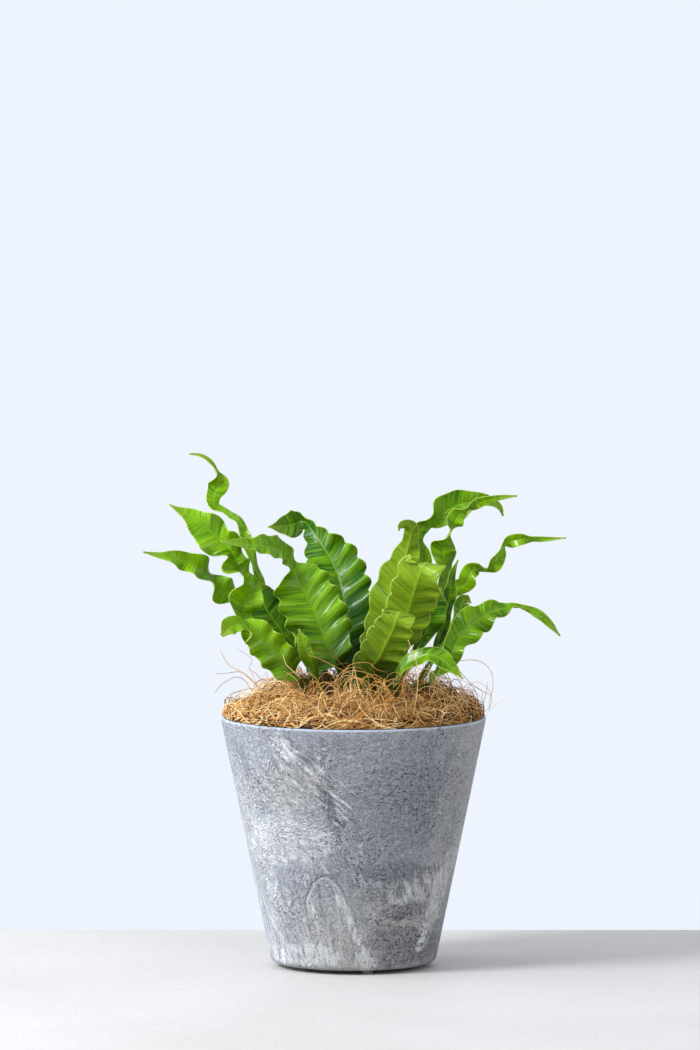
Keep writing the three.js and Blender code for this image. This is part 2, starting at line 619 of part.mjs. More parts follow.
// Height of the heap at a share of the way from its mouth to the rim. It is low in front, highest
// to the left, where it falls steeply at first, and falls evenly to the right and back.
function heapHeight(angle, share) {
  const left = ease(-Math.cos(angle));
  const front = ease((-Math.sin(angle) - MULCH_FRONT.start) / MULCH_FRONT.length);
  const lift = mix(mix(MULCH_LIFT.side, MULCH_LIFT.left, left), MULCH_LIFT.front, front);
  const ripples = MULCH_RIPPLES.reduce((sum, ripple) => (
    sum + ripple.height * Math.sin(ripple.pace * angle + ripple.lag)
  ), 0);
  return MULCH_EDGE_HEIGHT + (lift + ripples) * (1 - share) ** mix(MULCH_FALL.side, MULCH_FALL.left, left);
}

// The heap's plan: the mouth is round the crown, the outer edge round the pot.
function heapPoint(angle, share) {
  const inner = [CROWN_X + MULCH_MOUTH_HIGH * Math.cos(angle), MULCH_MOUTH_HIGH * Math.sin(angle)];
  return [
    mix(inner[0], MULCH_REACH * Math.cos(angle), share),
    mix(inner[1], MULCH_REACH * Math.sin(angle), share),
  ];
}

// A thin, straight-sided fibre along a curve.
function strandGeometry(points) {
  const ring = Array.from({ length: STRAND_SIDES }, (_, i) => {
    const angle = i * 2 * Math.PI / STRAND_SIDES;
    return new THREE.Vector2(STRAND_RADIUS * Math.cos(angle), STRAND_RADIUS * Math.sin(angle));
  });
  const curve = new THREE.CatmullRomCurve3(points);
  const options = { steps: STRAND_STEPS, extrudePath: curve, bevelEnabled: false };
  return new THREE.ExtrudeGeometry(new THREE.Shape(ring), options);
}

const widest = ribs.map((frames) => Math.max(...frames.map((frame) => frame.half)));

function nearFrond(point) {
  return ribs.some((frames, k) => {
    const half = widest[k];
    return frames.some((frame) => frame.point.distanceTo(point) < half + STRAND_CLEARANCE);
  });
}

function mulchGeometry() {
  const random = seededRandom(MULCH_SEED);
  const low = SOIL_HEIGHT + SEAT_GAP;
  const ledge = POT_RIM_HEIGHT + MULCH_RIM_GAP;
  const rows = [];
  const angles = Array.from({ length: MULCH_SIDES }, (_, i) => i / MULCH_SIDES * 2 * Math.PI);
  const addRow = (pointAt) => rows.push(angles.map(pointAt));
  const circle = (radius, height, x = 0) => (angle) => [
    x + radius * Math.cos(angle), radius * Math.sin(angle), height,
  ];
  addRow(circle(MULCH_MOUTH_LOW, low, CROWN_X));
  for (let band = 0; band <= MULCH_BANDS; band += 1) {
    const share = band / MULCH_BANDS;
    addRow((angle) => {
      const rough = band < MULCH_BANDS ? MULCH_ROUGHNESS * (2 * random() - 1) : 0;
      const lip = band === 0 ? MULCH_LIP : 0;
      return [...heapPoint(angle, share), heapHeight(angle, share) - lip + rough];
    });
  }
  addRow(circle(MULCH_REACH, ledge));
  const neck = innerRadius(low) - SEAT_GAP * 2;
  addRow(circle(neck + (ledge - low) * slope, ledge));
  addRow(circle(neck, low));
  const points = rows.flat();
  const faces = [];
  rows.forEach((_, r) => {
    const next = (r + 1) % rows.length;
    for (let i = 0; i < MULCH_SIDES; i += 1) {
      const j = (i + 1) % MULCH_SIDES;
      const [a, b] = [r * MULCH_SIDES + i, r * MULCH_SIDES + j];
      const [c, d] = [next * MULCH_SIDES + j, next * MULCH_SIDES + i];
      faces.push([a, c, b], [a, d, c]);
    }
  });
  let heap = solidOf(geometryOf(points, faces));
  let placed = 0;
  while (placed < STRAND_COUNT) {
    const start = random() * 2 * Math.PI;
    const turn = (random() - 0.5) * STRAND_TURN;
    const shares = [mix(...STRAND_REACH, random()), mix(...STRAND_REACH, random())];
    const arch = mix(...STRAND_ARCH, random());
    const path = STRAND_MARKS.map((t) => {
      const angle = start + turn * t;
      const share = mix(shares[0], shares[1], t);
      const [x, y] = heapPoint(angle, share);
      const lift = (arch + STRAND_SINK) * Math.sin(Math.PI * t) - STRAND_SINK;
      return new THREE.Vector3(x, y, heapHeight(angle, share) + lift);
    });
    const chord = path[0].distanceTo(path.at(-1));
    if (chord < STRAND_CHORD || path.some(nearFrond)) continue;
    heap = heap.add(solidOf(strandGeometry(path)));
    placed += 1;
  }
  return geometryFrom(heap);
}

// Materials and scene graph

const material = (color, roughness) => new THREE.MeshStandardMaterial({ color, roughness, metalness: 0 });

const fern = new THREE.Group();

function place(name, geometry, look) {
  const mesh = new THREE.Mesh(geometry, look);
  mesh.name = name;
  fern.add(mesh);
}

place('pot', potGeometry(), material(0x8b8d93, 0.7));
place('soil', soilGeometry(), material(0x3a2a1e, 0.95));
place('crown', crownGeometry(), material(0x4a3521, 0.85));
place('coir_mulch', mulchGeometry(), material(0xb98245, 0.9));
for (const [name, frond] of Object.entries(FRONDS)) {
  place(name, frondGeometry(frond), material(0x4f9a1e, 0.4));
}

export default fern;
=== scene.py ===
# A strap-leaved, crisp-waved fern in a tapered stone-grey pot dressed with coconut fibre.
# Lengths in the tables are in millimetres; meshes are built in metres in the frame of the part.
import math
import random

import bpy
import numpy as np
from mathutils import Matrix, Vector


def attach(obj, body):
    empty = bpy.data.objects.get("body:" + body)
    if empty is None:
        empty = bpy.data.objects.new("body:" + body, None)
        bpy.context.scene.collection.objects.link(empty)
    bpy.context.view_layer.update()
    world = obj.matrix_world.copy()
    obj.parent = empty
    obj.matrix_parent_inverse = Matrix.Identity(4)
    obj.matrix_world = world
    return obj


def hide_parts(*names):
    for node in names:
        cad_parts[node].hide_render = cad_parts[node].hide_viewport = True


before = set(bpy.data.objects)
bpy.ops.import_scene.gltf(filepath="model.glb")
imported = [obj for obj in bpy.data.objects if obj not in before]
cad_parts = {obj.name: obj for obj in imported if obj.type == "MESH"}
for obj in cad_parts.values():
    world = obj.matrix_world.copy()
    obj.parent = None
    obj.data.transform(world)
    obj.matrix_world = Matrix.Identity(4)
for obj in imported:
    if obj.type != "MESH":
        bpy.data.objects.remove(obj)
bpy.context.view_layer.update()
mm = 0.001
crownX = 5  # the crown stands a little to the right of the pot's axis


# shader sums written as Python sums

class Wire:
    # one output socket of a finish; sums on it add Math nodes
    def __init__(self, finish, socket):
        self.finish = finish
        self.socket = socket

    def __add__(self, other):
        return self.finish.maths("ADD", self, other)

    def __radd__(self, other):
        return self.finish.maths("ADD", other, self)

    def __sub__(self, other):
        return self.finish.maths("SUBTRACT", self, other)

    def __rsub__(self, other):
        return self.finish.maths("SUBTRACT", other, self)

    def __mul__(self, other):
        return self.finish.maths("MULTIPLY", self, other)

    def __rmul__(self, other):
        return self.finish.maths("MULTIPLY", other, self)

    def __truediv__(self, other):
        return self.finish.maths("DIVIDE", self, other)

    def __rtruediv__(self, other):
        return self.finish.maths("DIVIDE", other, self)


class Finish:
    # the nodes of one material, or of the world, under construction
    def __init__(self, owner):
        self.owner = owner
        owner.use_nodes = True
        self.tree = owner.node_tree
        self.tree.nodes.clear()

    def node(self, kind, settings=None, sockets=None, out=0):
        made = self.tree.nodes.new("ShaderNode" + kind)
        for key, value in (settings or {}).items():
            setattr(made, key, value)
        for key, value in (sockets or {}).items():
            if isinstance(value, Wire):
                self.tree.links.new(value.socket, made.inputs[key])
            else:
                made.inputs[key].default_value = value
        return None if out is None else Wire(self, made.outputs[out])

    def maths(self, operation, *values):
        return self.node("Math", {"operation": operation}, dict(enumerate(values)))

    def vectors(self, operation, *values, out=0):
        return self.node("VectorMath", {"operation": operation}, dict(enumerate(values)), out)

    def absolute(self, value):
        return self.maths("ABSOLUTE", value)

    def blend(self, factor, first, second):
        # input 0 is the factor, 6 and 7 are the colours, output 2 the mixed colour
        return self.node("Mix", {"data_type": "RGBA"}, {0: factor, 6: first, 7: second}, out=2)

    def choose(self, factor, first, second):
        # the same for numbers, at inputs 2 and 3
        return self.node("Mix", {"data_type": "FLOAT"}, {0: factor, 2: first, 3: second})

    def slope(self, value, low, high, start=0.0, end=1.0):
        # eases from start at low to end at high
        return self.node("MapRange", {"interpolation_type": "SMOOTHSTEP"}, {
            "Value": value, "From Min": low, "From Max": high, "To Min": start, "To Max": end})

    def cloud(self, place, scale, detail=3.0, roughness=0.5, distortion=0.0, out=0):
        return self.node("TexNoise", None, {"Vector": place, "Scale": scale, "Detail": detail,
                                            "Roughness": roughness, "Distortion": distortion}, out)

    def painted(self, name):
        # a value that the mesh carries at each of its points
        return self.node("Attribute", {"attribute_name": name}, out=2)

    def place(self):
        # where a point lies in its own piece
        return self.node("TexCoord", out=3)

    def bumped(self, height, depth):
        return self.node("Bump", None, {"Height": height, "Distance": depth, "Strength": 1.0})

    def skin(self, colour, rough, bump, **more):
        sockets = {"Base Color": colour, "Roughness": rough, "Normal": bump}
        for key, value in more.items():
            sockets[skinSockets[key]] = value
        return self.node("BsdfPrincipled", None, sockets)

    def show(self, surface):
        self.node("OutputMaterial", None, {"Surface": surface}, out=None)
        return self.owner


skinSockets = {"coat": "Coat Weight", "coatRough": "Coat Roughness", "specular": "Specular IOR Level"}


def newFinish(name):
    return Finish(bpy.data.materials.new(name))


def tone(red, green, blue):
    # a colour from the 0 to 255 values that a paint chart gives
    def linear(value):
        value = value / 255
        return value / 12.92 if value <= 0.04045 else ((value + 0.055) / 1.055) ** 2.4
    return (linear(red), linear(green), linear(blue), 1.0)


# The view of the photograph: its middle pixel looks at aim from distance away, and rise is the
# tangent of the angle at which it looks down. The rim, 170 mm across, is 266.6 pixels wide in it.
photoView = {
    "aim": (-2.2, 0, 282.5), "distance": 6000, "rise": 0.0852, "pixels": (700, 1050),
    "rimAcross": 170, "rimPixels": 266.6,
}
pitch = math.atan(photoView["rise"])
lookAlong = np.array([0, math.cos(pitch), -math.sin(pitch)])
lookUp = np.array([0, math.sin(pitch), math.cos(pitch)])
eye = np.array(photoView["aim"]) - photoView["distance"] * lookAlong
focal = photoView["distance"] * photoView["rimPixels"] / photoView["rimAcross"]


def seenAt(across, down, depth):
    # the point at this depth (y, in millimetres) that is seen at this pixel
    right, up = across - photoView["pixels"][0] / 2, photoView["pixels"][1] / 2 - down
    ray = lookAlong + (np.array([right, 0, 0]) + lookUp * up) / focal
    return eye + ray * (depth - eye[1]) / ray[1]


# fronds: what grows where
# root: x, y, z and width of the stalk, from its socket up. seen: the pixel of the midrib, its depth,
# the blade's width, and its turn from facing the viewer in degrees (180 shows the underside).
# hidden: x, y, z and width at the back. waves and wave: how many margin waves, and their height.
# swells: share of that height from base to tip. cup: rise of the two halves in degrees.
# lime: 0 is deep green, 1 is yellow-green.
fronds = {
    "frond_01": {
        "root": [[-10, 12, 150, 3], [-34, 24, 204, 4]],
        "seen": [[266, 605, 34, 6, 20], [258, 577, 36, 7, 50], [252, 558, 38, 7, 30],
                 [245, 536, 42, 7, 20], [238, 520, 46, 8, 40], [226, 513, 50, 7, 70],
                 [215, 508, 52, 8, 30], [213, 497, 53, 10, -10], [218, 484, 54, 13, 20],
                 [216, 471, 54, 4, 70], [210, 461, 54, 3, 20], [200, 455, 54, 2, 10],
                 [189, 454, 54, 1, 0]],
        "waves": 8, "wave": 2.4, "phase": 0.1, "lime": 0.62},
    "frond_02": {
        "root": [[-5, -2, 152, 3], [-40, -10, 184, 6]],
        "seen": [[262, 650, -9, 12, 0], [250, 632, -8, 13, 10], [243, 617, -8, 14, 40],
                 [245, 598, -8, 23, 10], [248, 583, -7, 18, 40], [243, 575, -6, 12, 75],
                 [235, 565, -5, 22, 5], [233, 555, -4, 16, 45], [222, 542, -1, 23, -10],
                 [209, 530, 1, 24, -10], [194, 519, 4, 14, 5], [180, 511, 7, 5, 25], [169, 504, 8, 1, 0]],
        "cup": [12, 12, 16, 26, 24, 20],
        "waves": 9, "wave": 3.6, "phase": 0.3, "lime": 0.62},
    "frond_03": {
        "root": [[-13, 6, 150, 3], [-34, 14, 180, 4]],
        "seen": [[262, 628, 24, 9, 0], [247, 612, 24, 11, 30], [232, 597, 22, 15, 50],
                 [220, 589, 19, 18, 20], [209, 577, 15, 13, 65], [199, 567, 11, 17, 35],
                 [186, 562, 8, 14, 20], [172, 558, 4, 9, 30], [157, 555, 1, 4, 20], [143, 552, -2, 1, 0]],
        "waves": 8, "wave": 2.8, "phase": 0, "lime": 0.95},
    "frond_04": {
        "root": [[-12, -9, 150, 3], [-34, -21, 184, 15]],
        "seen": [[284, 663, -25, 22, 0], [272, 650, -26, 23, 0], [260, 638, -28, 21, -5],
                 [250, 629, -31, 16, 35], [243, 625, -35, 9, 60], [235, 624, -40, 12, 10],
                 [228, 628, -44, 12, 0], [222, 636, -48, 3, 0]],
        "waves": 9, "wave": 3.4, "phase": 0.6, "lime": 0.95},
    "frond_05": {
        "root": [[-4, 4, 152, 3], [-33, 9, 196, 14]],
        "seen": [[296, 647, 10, 12, 0], [287, 637, 10, 24, 0], [277, 625, 11, 31, 0],
                 [268, 612, 11, 32, 0], [261, 599, 11, 26, 0], [258, 588, 11, 14, 0],
                 [257, 580, 11, 1, 0]],
        "waves": 8, "wave": 2.2, "phase": 0.2, "lime": 0.15},
    "frond_06": {
        "root": [[-1, -8, 152, 3], [-5, -7, 172, 10], [-9, -6, 190, 23]],
        "seen": [[333, 660, -5, 27, 0], [327, 643, -3, 34, 0], [321, 629, -1, 39, 0],
                 [315, 613, 1, 40, 0], [307, 597, 4, 38, 0], [301, 585, 6, 36, 0], [297, 577, 7, 31, 10],
                 [291, 566, 7, 14, 60], [281, 551, 2, 16, 45], [267, 546, -6, 15, 30],
                 [251, 545, -12, 10, 35], [236, 543, -17, 6, 40], [221, 541, -20, 1, 30]],
        "waves": 13, "wave": 2.6, "phase": 0.2, "lime": 0.6},
    "frond_07": {
        "root": [[3, 10, 152, 3], [0, 19, 175, 12], [-4, 26, 196, 25]],
        "seen": [[347, 628, 33, 30, 0], [346, 609, 38, 37, 0], [342, 592, 43, 38, 0],
                 [338, 576, 48, 37, 0], [331, 560, 53, 34, 0], [322, 545, 58, 25, -20],
                 [313, 531, 64, 14, -35], [306, 522, 70, 10, -35], [300, 521, 73, 13, 0],
                 [293, 524, 71, 18, 0], [281, 526, 69, 11, 0], [268, 527, 67, 1, 0]],
        "cup": [12, 12, 12, 12, 20, 8],
        "waves": 14, "wave": 2.6, "phase": 0.5, "lime": 0.12},
    "frond_08": {
        "root": [[5, -2, 153, 3], [9, -5, 176, 11], [13, -8, 200, 19]],
        "seen": [[383, 622, -13, 22, 180], [388, 604, -15, 25, 180], [396, 584, -16, 26, 180],
                 [404, 565, -18, 22, 180], [408, 549, -20, 14, 180], [411, 537, -23, 10, 180],
                 [411, 528, -27, 9, 170], [406, 524, -31, 7, 150], [400, 526, -34, 5, 130],
                 [399, 531, -35, 1, 120]],
        "waves": 9, "wave": 3.2, "phase": 0.1, "lime": 0.78},
    "frond_09": {
        "root": [[10, -9, 152, 3], [20, -13, 174, 10], [28, -17, 195, 18]],
        "seen": [[404, 630, -25, 24, 180], [409, 611, -33, 29, 180], [414, 594, -42, 30, 180],
                 [419, 578, -51, 30, 165], [424, 566, -58, 29, 148], [427, 563, -52, 22, 148],
                 [431, 567, -43, 11, 148], [434, 573, -38, 1, 148]],
        "cup": [12, 12, 12, 10, 2, 2], "swells": [1, 1, 1, 0.9, 0.2, 0.1],
        "waves": 10, "wave": 2.7, "phase": 0.4, "lime": 0.74},
    "frond_10": {
        "root": [[10, -18, 150, 3], [11, -27, 172, 14], [11, -34, 192, 24]],
        "seen": [[380, 657, -44, 27, 180], [386, 644, -52, 27, 180], [393, 630, -61, 24, 180],
                 [398, 616, -70, 21, 160], [400, 612, -66, 18, 155], [402, 615, -58, 11, 155],
                 [403, 621, -54, 1, 155]],
        "cup": [12, 12, 12, 10, 3, 2], "swells": [1, 1, 1, 0.9, 0.2, 0.1],
        "waves": 9, "wave": 2.7, "phase": 0.7, "lime": 0.64},
    "frond_11": {
        "root": [[19, -13, 150, 3], [27, -38, 176, 6]],
        "seen": [[402, 669, -57, 11, -50], [415, 660, -60, 12, -45], [428, 655, -63, 13, -40],
                 [440, 659, -66, 13, -35], [452, 668, -69, 8, -30], [463, 679, -72, 1, -20]],
        "waves": 5, "wave": 1.1, "phase": 0.2, "lime": 0.42},
    "frond_12": {
        "root": [[13, 6, 152, 3], [42, 29, 203, 4]],
        "seen": [[437, 612, 34, 8, 20], [441, 592, 35, 9, 40], [445, 574, 34, 10, 50],
                 [444, 560, 33, 14, 15], [443, 548, 32, 17, 0], [447, 538, 31, 11, 60],
                 [451, 530, 31, 6, 80], [454, 522, 30, 11, 20], [459, 514, 30, 10, 10],
                 [467, 508, 28, 7, 60], [478, 503, 27, 7, 20], [490, 499, 25, 5, 20],
                 [504, 497, 23, 3, 10], [517, 496, 22, 1, 0]],
        "waves": 9, "wave": 2, "phase": 0.2, "lime": 0.72},
    "frond_13": {
        "root": [[16, 15, 150, 3], [42, 45, 203, 5]],
        "seen": [[424, 600, 50, 8, 20], [425, 575, 52, 9, 20], [423, 557, 53, 10, 20],
                 [419, 542, 54, 8, 55], [420, 529, 55, 10, 20], [428, 522, 55, 9, 60],
                 [437, 518, 56, 14, 20], [446, 511, 57, 22, -10], [458, 505, 58, 21, -10],
                 [470, 502, 59, 14, -10], [483, 500, 60, 9, -10], [494, 503, 61, 6, -20],
                 [500, 508, 62, 4, -20], [503, 516, 63, 1, 0]],
        "cup": [12, 12, 12, 18, 22],
        "waves": 7, "wave": 1.8, "phase": 0.1, "lime": 0.65},
    "frond_14": {
        "root": [[24, 4, 150, 3], [54, 16, 201, 4]],
        "seen": [[445, 612, 15, 8, 0], [449, 598, 15, 8, 10], [456, 588, 14, 11, 0],
                 [465, 583, 14, 11, 35], [470, 573, 13, 11, -10], [478, 567, 13, 9, 30],
                 [487, 569, 13, 6, 75], [495, 565, 12, 9, 20], [500, 555, 12, 10, 30],
                 [504, 546, 11, 7, 75], [511, 541, 11, 8, 20], [521, 539, 9, 8, 10], [533, 539, 9, 5, 40],
                 [547, 539, 8, 3, 10], [566, 538, 5, 1, 0]],
        "waves": 8, "wave": 2, "phase": 0.5, "lime": 0.8},
    "frond_15": {
        "root": [[23, -5, 150, 3], [47, -20, 182, 9]],
        "seen": [[448, 660, -25, 13, 0], [456, 643, -25, 14, 0], [466, 629, -21, 22, -10],
                 [478, 620, -16, 20, -10], [490, 612, -13, 14, -20], [502, 609, -10, 11, -20],
                 [514, 607, -8, 5, -60], [526, 608, -7, 4, -20], [538, 614, -6, 6, 0],
                 [549, 623, -5, 5, 0], [560, 636, -4, 1, 0]],
        "waves": 9, "wave": 3.8, "phase": 0.3, "lime": 0.54},
    "frond_16": {
        "root": [[15, 0, 152, 3], [46, 2, 190, 3]],
        "seen": [[440, 638, 1, 6, 0], [446, 612, 0, 8, 20], [450, 592, -1, 8, 20], [452, 575, -2, 5, 20],
                 [458, 560, -4, 1, 0]],
        "waves": 6, "wave": 1.6, "phase": 0.1, "lime": 0.15},
    "frond_17": {
        "root": [[21, 10, 150, 3], [54, 33, 198, 4]],
        "seen": [[458, 620, 39, 7, 0], [461, 606, 41, 10, 0], [465, 599, 42, 7, 0], [471, 603, 42, 1, 0]],
        "waves": 4, "wave": 1.6, "phase": 0.1, "lime": 0.3},
    "frond_18": {
        "root": [[14, -5, 152, 3], [33, -2, 191, 3]],
        "seen": [[419, 645, -4, 7, 0], [427, 629, -6, 14, 10], [432, 614, -8, 18, 10],
                 [437, 600, -8, 13, 10], [441, 588, -9, 1, 0]],
        "waves": 6, "wave": 1.8, "phase": 0.4, "lime": 0.15},
    "frond_19": {
        "root": [[-7, -15, 150, 3], [-20, -24, 179, 4]],
        "seen": [[313, 668, -27, 7, 0], [307, 655, -31, 9, 0], [303, 642, -33, 8, 0],
                 [299, 629, -34, 1, 0]],
        "waves": 4, "wave": 1, "phase": 0.1, "lime": 0.85},
    "frond_20": {
        "root": [[3, 19, 150, 3], [-2, 40, 200, 8]],
        "hidden": [[-6, 57, 226, 24], [-9, 70, 235, 30], [-12, 80, 232, 24], [-15, 86, 221, 1]],
        "waves": 8, "wave": 3, "phase": 0.2, "lime": 0.4},
    "frond_21": {
        "root": [[-4, 17, 150, 3], [-22, 38, 190, 10]],
        "hidden": [[-38, 55, 210, 25], [-50, 70, 213, 26], [-60, 80, 204, 1]],
        "waves": 7, "wave": 3, "phase": 0.2, "lime": 0.35},
    "frond_22": {
        "root": [[10, 18, 150, 3], [22, 50, 196, 9]],
        "hidden": [[33, 65, 214, 25], [43, 76, 215, 24], [50, 83, 205, 1]],
        "waves": 7, "wave": 3, "phase": 0.2, "lime": 0.45},
}


# meshes

def meshPiece(name, points, faces, finish, covers=(), values=None):
    # a piece from points in millimetres; values are numbers that its points carry for the finish
    mesh = bpy.data.meshes.new(name)
    mesh.from_pydata((np.asarray(points) * mm).tolist(), [], faces)
    mesh.update()
    mesh.shade_smooth()
    for key, value in (values or {}).items():
        carried = mesh.attributes.new(key, "FLOAT", "POINT")
        carried.data.foreach_set("value", np.ravel(value).astype(np.float32))
    piece = bpy.data.objects.new(name, mesh)
    bpy.context.scene.collection.objects.link(piece)
    mesh.materials.append(finish)
    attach(piece, "root")
    if covers:
        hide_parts(*covers)
    return piece


def ease(value):
    value = np.clip(value, 0, 1)
    return value * value * (3 - 2 * value)


def mix(low, high, share):
    return low + (high - low) * share


def stations(values, share):
    # evenly spaced values, eased from one to the next
    values = np.asarray(values, float)
    if len(values) == 1:
        return np.full_like(share, values[0])
    at = np.clip(share, 0, 1) * (len(values) - 1)
    first = np.minimum(at.astype(int), len(values) - 2)
    return values[first] + (values[first + 1] - values[first]) * ease(at - first)


def unit(vectors):
    return vectors / np.maximum(np.linalg.norm(vectors, axis=-1, keepdims=True), 1e-12)


def through(values, marks, share):
    # a smooth curve through the values at their marks, without overshoot
    values, marks = np.asarray(values, float), np.asarray(marks, float)
    gaps = np.diff(marks)
    slopes = np.diff(values) / gaps
    before, after = slopes[:-1], slopes[1:]
    lean = np.zeros(len(values))
    rising = before * after > 0
    lean[1:-1][rising] = 2 * before[rising] * after[rising] / (before[rising] + after[rising])
    first = np.clip(np.searchsorted(marks, share, side="right") - 1, 0, len(gaps) - 1)
    t = (share - marks[first]) / gaps[first]
    held = mix(values[first], values[first + 1], t * t * (3 - 2 * t))
    return held + gaps[first] * (lean[first] * t * (1 - t) ** 2 - lean[first + 1] * t * t * (1 - t))


def smoothLine(points, count, fineness=60):
    # a centripetal Catmull-Rom line through the points, with count + 1 even stops, its length,
    # and the share of that length at which each point lies
    points = np.asarray(points, float)
    held = np.vstack([2 * points[0] - points[1], points, 2 * points[-1] - points[-2]])
    spans = len(points) - 1
    at = np.linspace(0, spans, spans * fineness + 1)
    first = np.minimum(at.astype(int), spans - 1)
    w = (at - first)[:, None]
    a, b, c, d = (held[first + k] for k in range(4))
    gaps = []
    for step in (b - a, c - b, d - c):
        gaps.append(np.maximum(np.linalg.norm(step, axis=1) ** 0.5, 1e-4)[:, None])
    leave = ((b - a) / gaps[0] - (c - a) / (gaps[0] + gaps[1]) + (c - b) / gaps[1]) * gaps[1]
    reach = ((c - b) / gaps[1] - (d - b) / (gaps[1] + gaps[2]) + (d - c) / gaps[2]) * gaps[1]
    line = b + leave * w + (3 * (c - b) - 2 * leave - reach) * w ** 2
    line = line + (2 * (b - c) + leave + reach) * w ** 3
    run = np.r_[0, np.cumsum(np.linalg.norm(np.diff(line, axis=0), axis=1))]
    want = np.linspace(0, run[-1], count + 1)
    even = np.stack([np.interp(want, run, line[:, k]) for k in range(3)], 1)
    return even, run[-1], run[::fineness] / run[-1]


# fronds: how a blade is shaped

bladeForm = {
    # stops of the midrib, the grid's rows and columns, and how far the upper face looks up; where
    # the midrib points at the viewer more than grazing allows, the blade keeps its roll
    "ribStops": 240, "rowStep": 1.3, "faceUpright": 20, "grazing": 0.6, "seed": 100,
    "columns": [0, 0.035, 0.08, 0.15, 0.24, 0.35, 0.47, 0.6, 0.73, 0.84, 0.93, 1],
    # the waves start beyond the stalk, swell to their height and calm down towards the tip
    "stalkShare": 0.07, "swell": {"start": 0.04, "length": 0.22},
    "calm": {"start": 0.75, "length": 0.25, "share": 0.55}, "fullness": 0.8, "cup": 12,
    # their pace drifts, they trail towards the margin, and one margin lags behind the other
    "drift": {"paces": (1.3, 2.9, 4.7), "lag": 9, "share": 0.14}, "trail": 0.35, "sideLag": 0.3,
    "second": {"pace": 0.53, "lag": 0.2, "height": 0.28}, "marginPower": 1.4, "pleatPower": 0.7,
    "crisp": {"pace": 2.3, "drift": 0.4, "height": 0.1, "power": 2.2}, "scallop": 0.09,
    # thickness at the margin, in the body and in the stalk, and the groove and ridge of the midrib
    "edge": 0.42, "body": 0.55, "bodyPower": 0.7, "faceRise": 0.22, "thinning": 0.75,
    "stalk": 2.0, "stalkEnd": 0.12, "stalkRound": 1.06,
    "ridge": 0.75, "ridgeWidth": 0.95, "groove": 0.22, "grooveWidth": 0.55,
}


def ribStations(frond):
    # the points of the midrib in millimetres, with the blade's width and its turn at each
    held = []
    for x, y, z, width in frond["root"] + frond.get("hidden", []):
        held.append((np.array([x, y, z], float), width, None))
    for across, down, depth, width, turn in frond.get("seen", []):
        held.append((seenAt(across, down, depth), width, turn))
    return held


def carriedFaces(along, face):
    # the upper-face direction, carried along the midrib without twist
    faces = []
    for step in along:
        face = face - face.dot(step) * step
        face = face / np.linalg.norm(face)
        faces.append(face)
    return np.array(faces)


def aimedRolls(held, marks, along, faces):
    # how far the blade rolls from its carried faces at each point, to turn as the photo shows
    rolls = []
    for mark, (_, _, turn) in zip(marks, held):
        last = rolls[-1] if rolls else 0
        stop = int(round(mark * bladeForm["ribStops"]))
        step = along[stop]
        toViewer = -lookAlong + lookAlong.dot(step) * step
        if turn is None or np.linalg.norm(toViewer) < bladeForm["grazing"]:
            rolls.append(last)
            continue
        toViewer = unit(toViewer)
        turned = math.radians(turn)
        aimed = toViewer * math.cos(turned) + np.cross(step, toViewer) * math.sin(turned)
        roll = math.atan2(aimed.dot(np.cross(step, faces[stop])), aimed.dot(faces[stop]))
        rolls.append(last + (roll - last + math.pi) % math.tau - math.pi)
    return rolls


def ribFrames(frond):
    # the midrib with its upper-face and sideways directions, and the blade's half width
    stops = bladeForm["ribStops"]
    held = ribStations(frond)
    line, length, marks = smoothLine([place for place, _, _ in held], stops)
    along = unit(np.vstack([line[1] - line[0], line[2:] - line[:-2], line[-1] - line[-2]]))
    x, y, _ = held[1][0]
    faces = carriedFaces(along, np.array([crownX - x, -y, bladeForm["faceUpright"]]))
    share = np.linspace(0, 1, stops + 1)
    turned = through(aimedRolls(held, marks, along, faces), marks, share)[:, None]
    faces = faces * np.cos(turned) + np.cross(along, faces) * np.sin(turned)
    half = through([width / 2 for _, width, _ in held], marks, share)
    return line, faces, np.cross(along, faces), half, length


def bladeWaves(frond, seed, share, column, reach, length):
    # how far the waves have swelled, how many have passed, and their broad and their crisp part
    swell, calm, drift, second, crisp = (
        bladeForm[key] for key in ("swell", "calm", "drift", "second", "crisp"))
    along = np.clip((share - bladeForm["stalkShare"]) / (1 - bladeForm["stalkShare"]), 0, 1)
    calmed = 1 - calm["share"] * ease((along - calm["start"]) / calm["length"])
    swelled = ease((along - swell["start"]) / swell["length"]) * calmed
    side = np.where(column < 0, 0, bladeForm["sideLag"])
    draw = random.Random(seed)
    drifted = 0
    for pace in drift["paces"]:
        drifted = drifted + np.sin(math.tau * (pace * along + draw.random()) + side * drift["lag"]) / pace
    trailed = along - bladeForm["trail"] * np.abs(column) * reach / length
    turns = frond["waves"] * trailed + frond["phase"] + side
    turns = turns + drift["share"] * drifted
    later = turns * second["pace"] + second["lag"] + side
    broad = np.sin(math.tau * turns) + second["height"] * np.sin(math.tau * later)
    fine = np.sin(math.tau * (turns * crisp["pace"] + draw.random() + crisp["drift"] * drifted))
    return swelled, turns, broad, fine


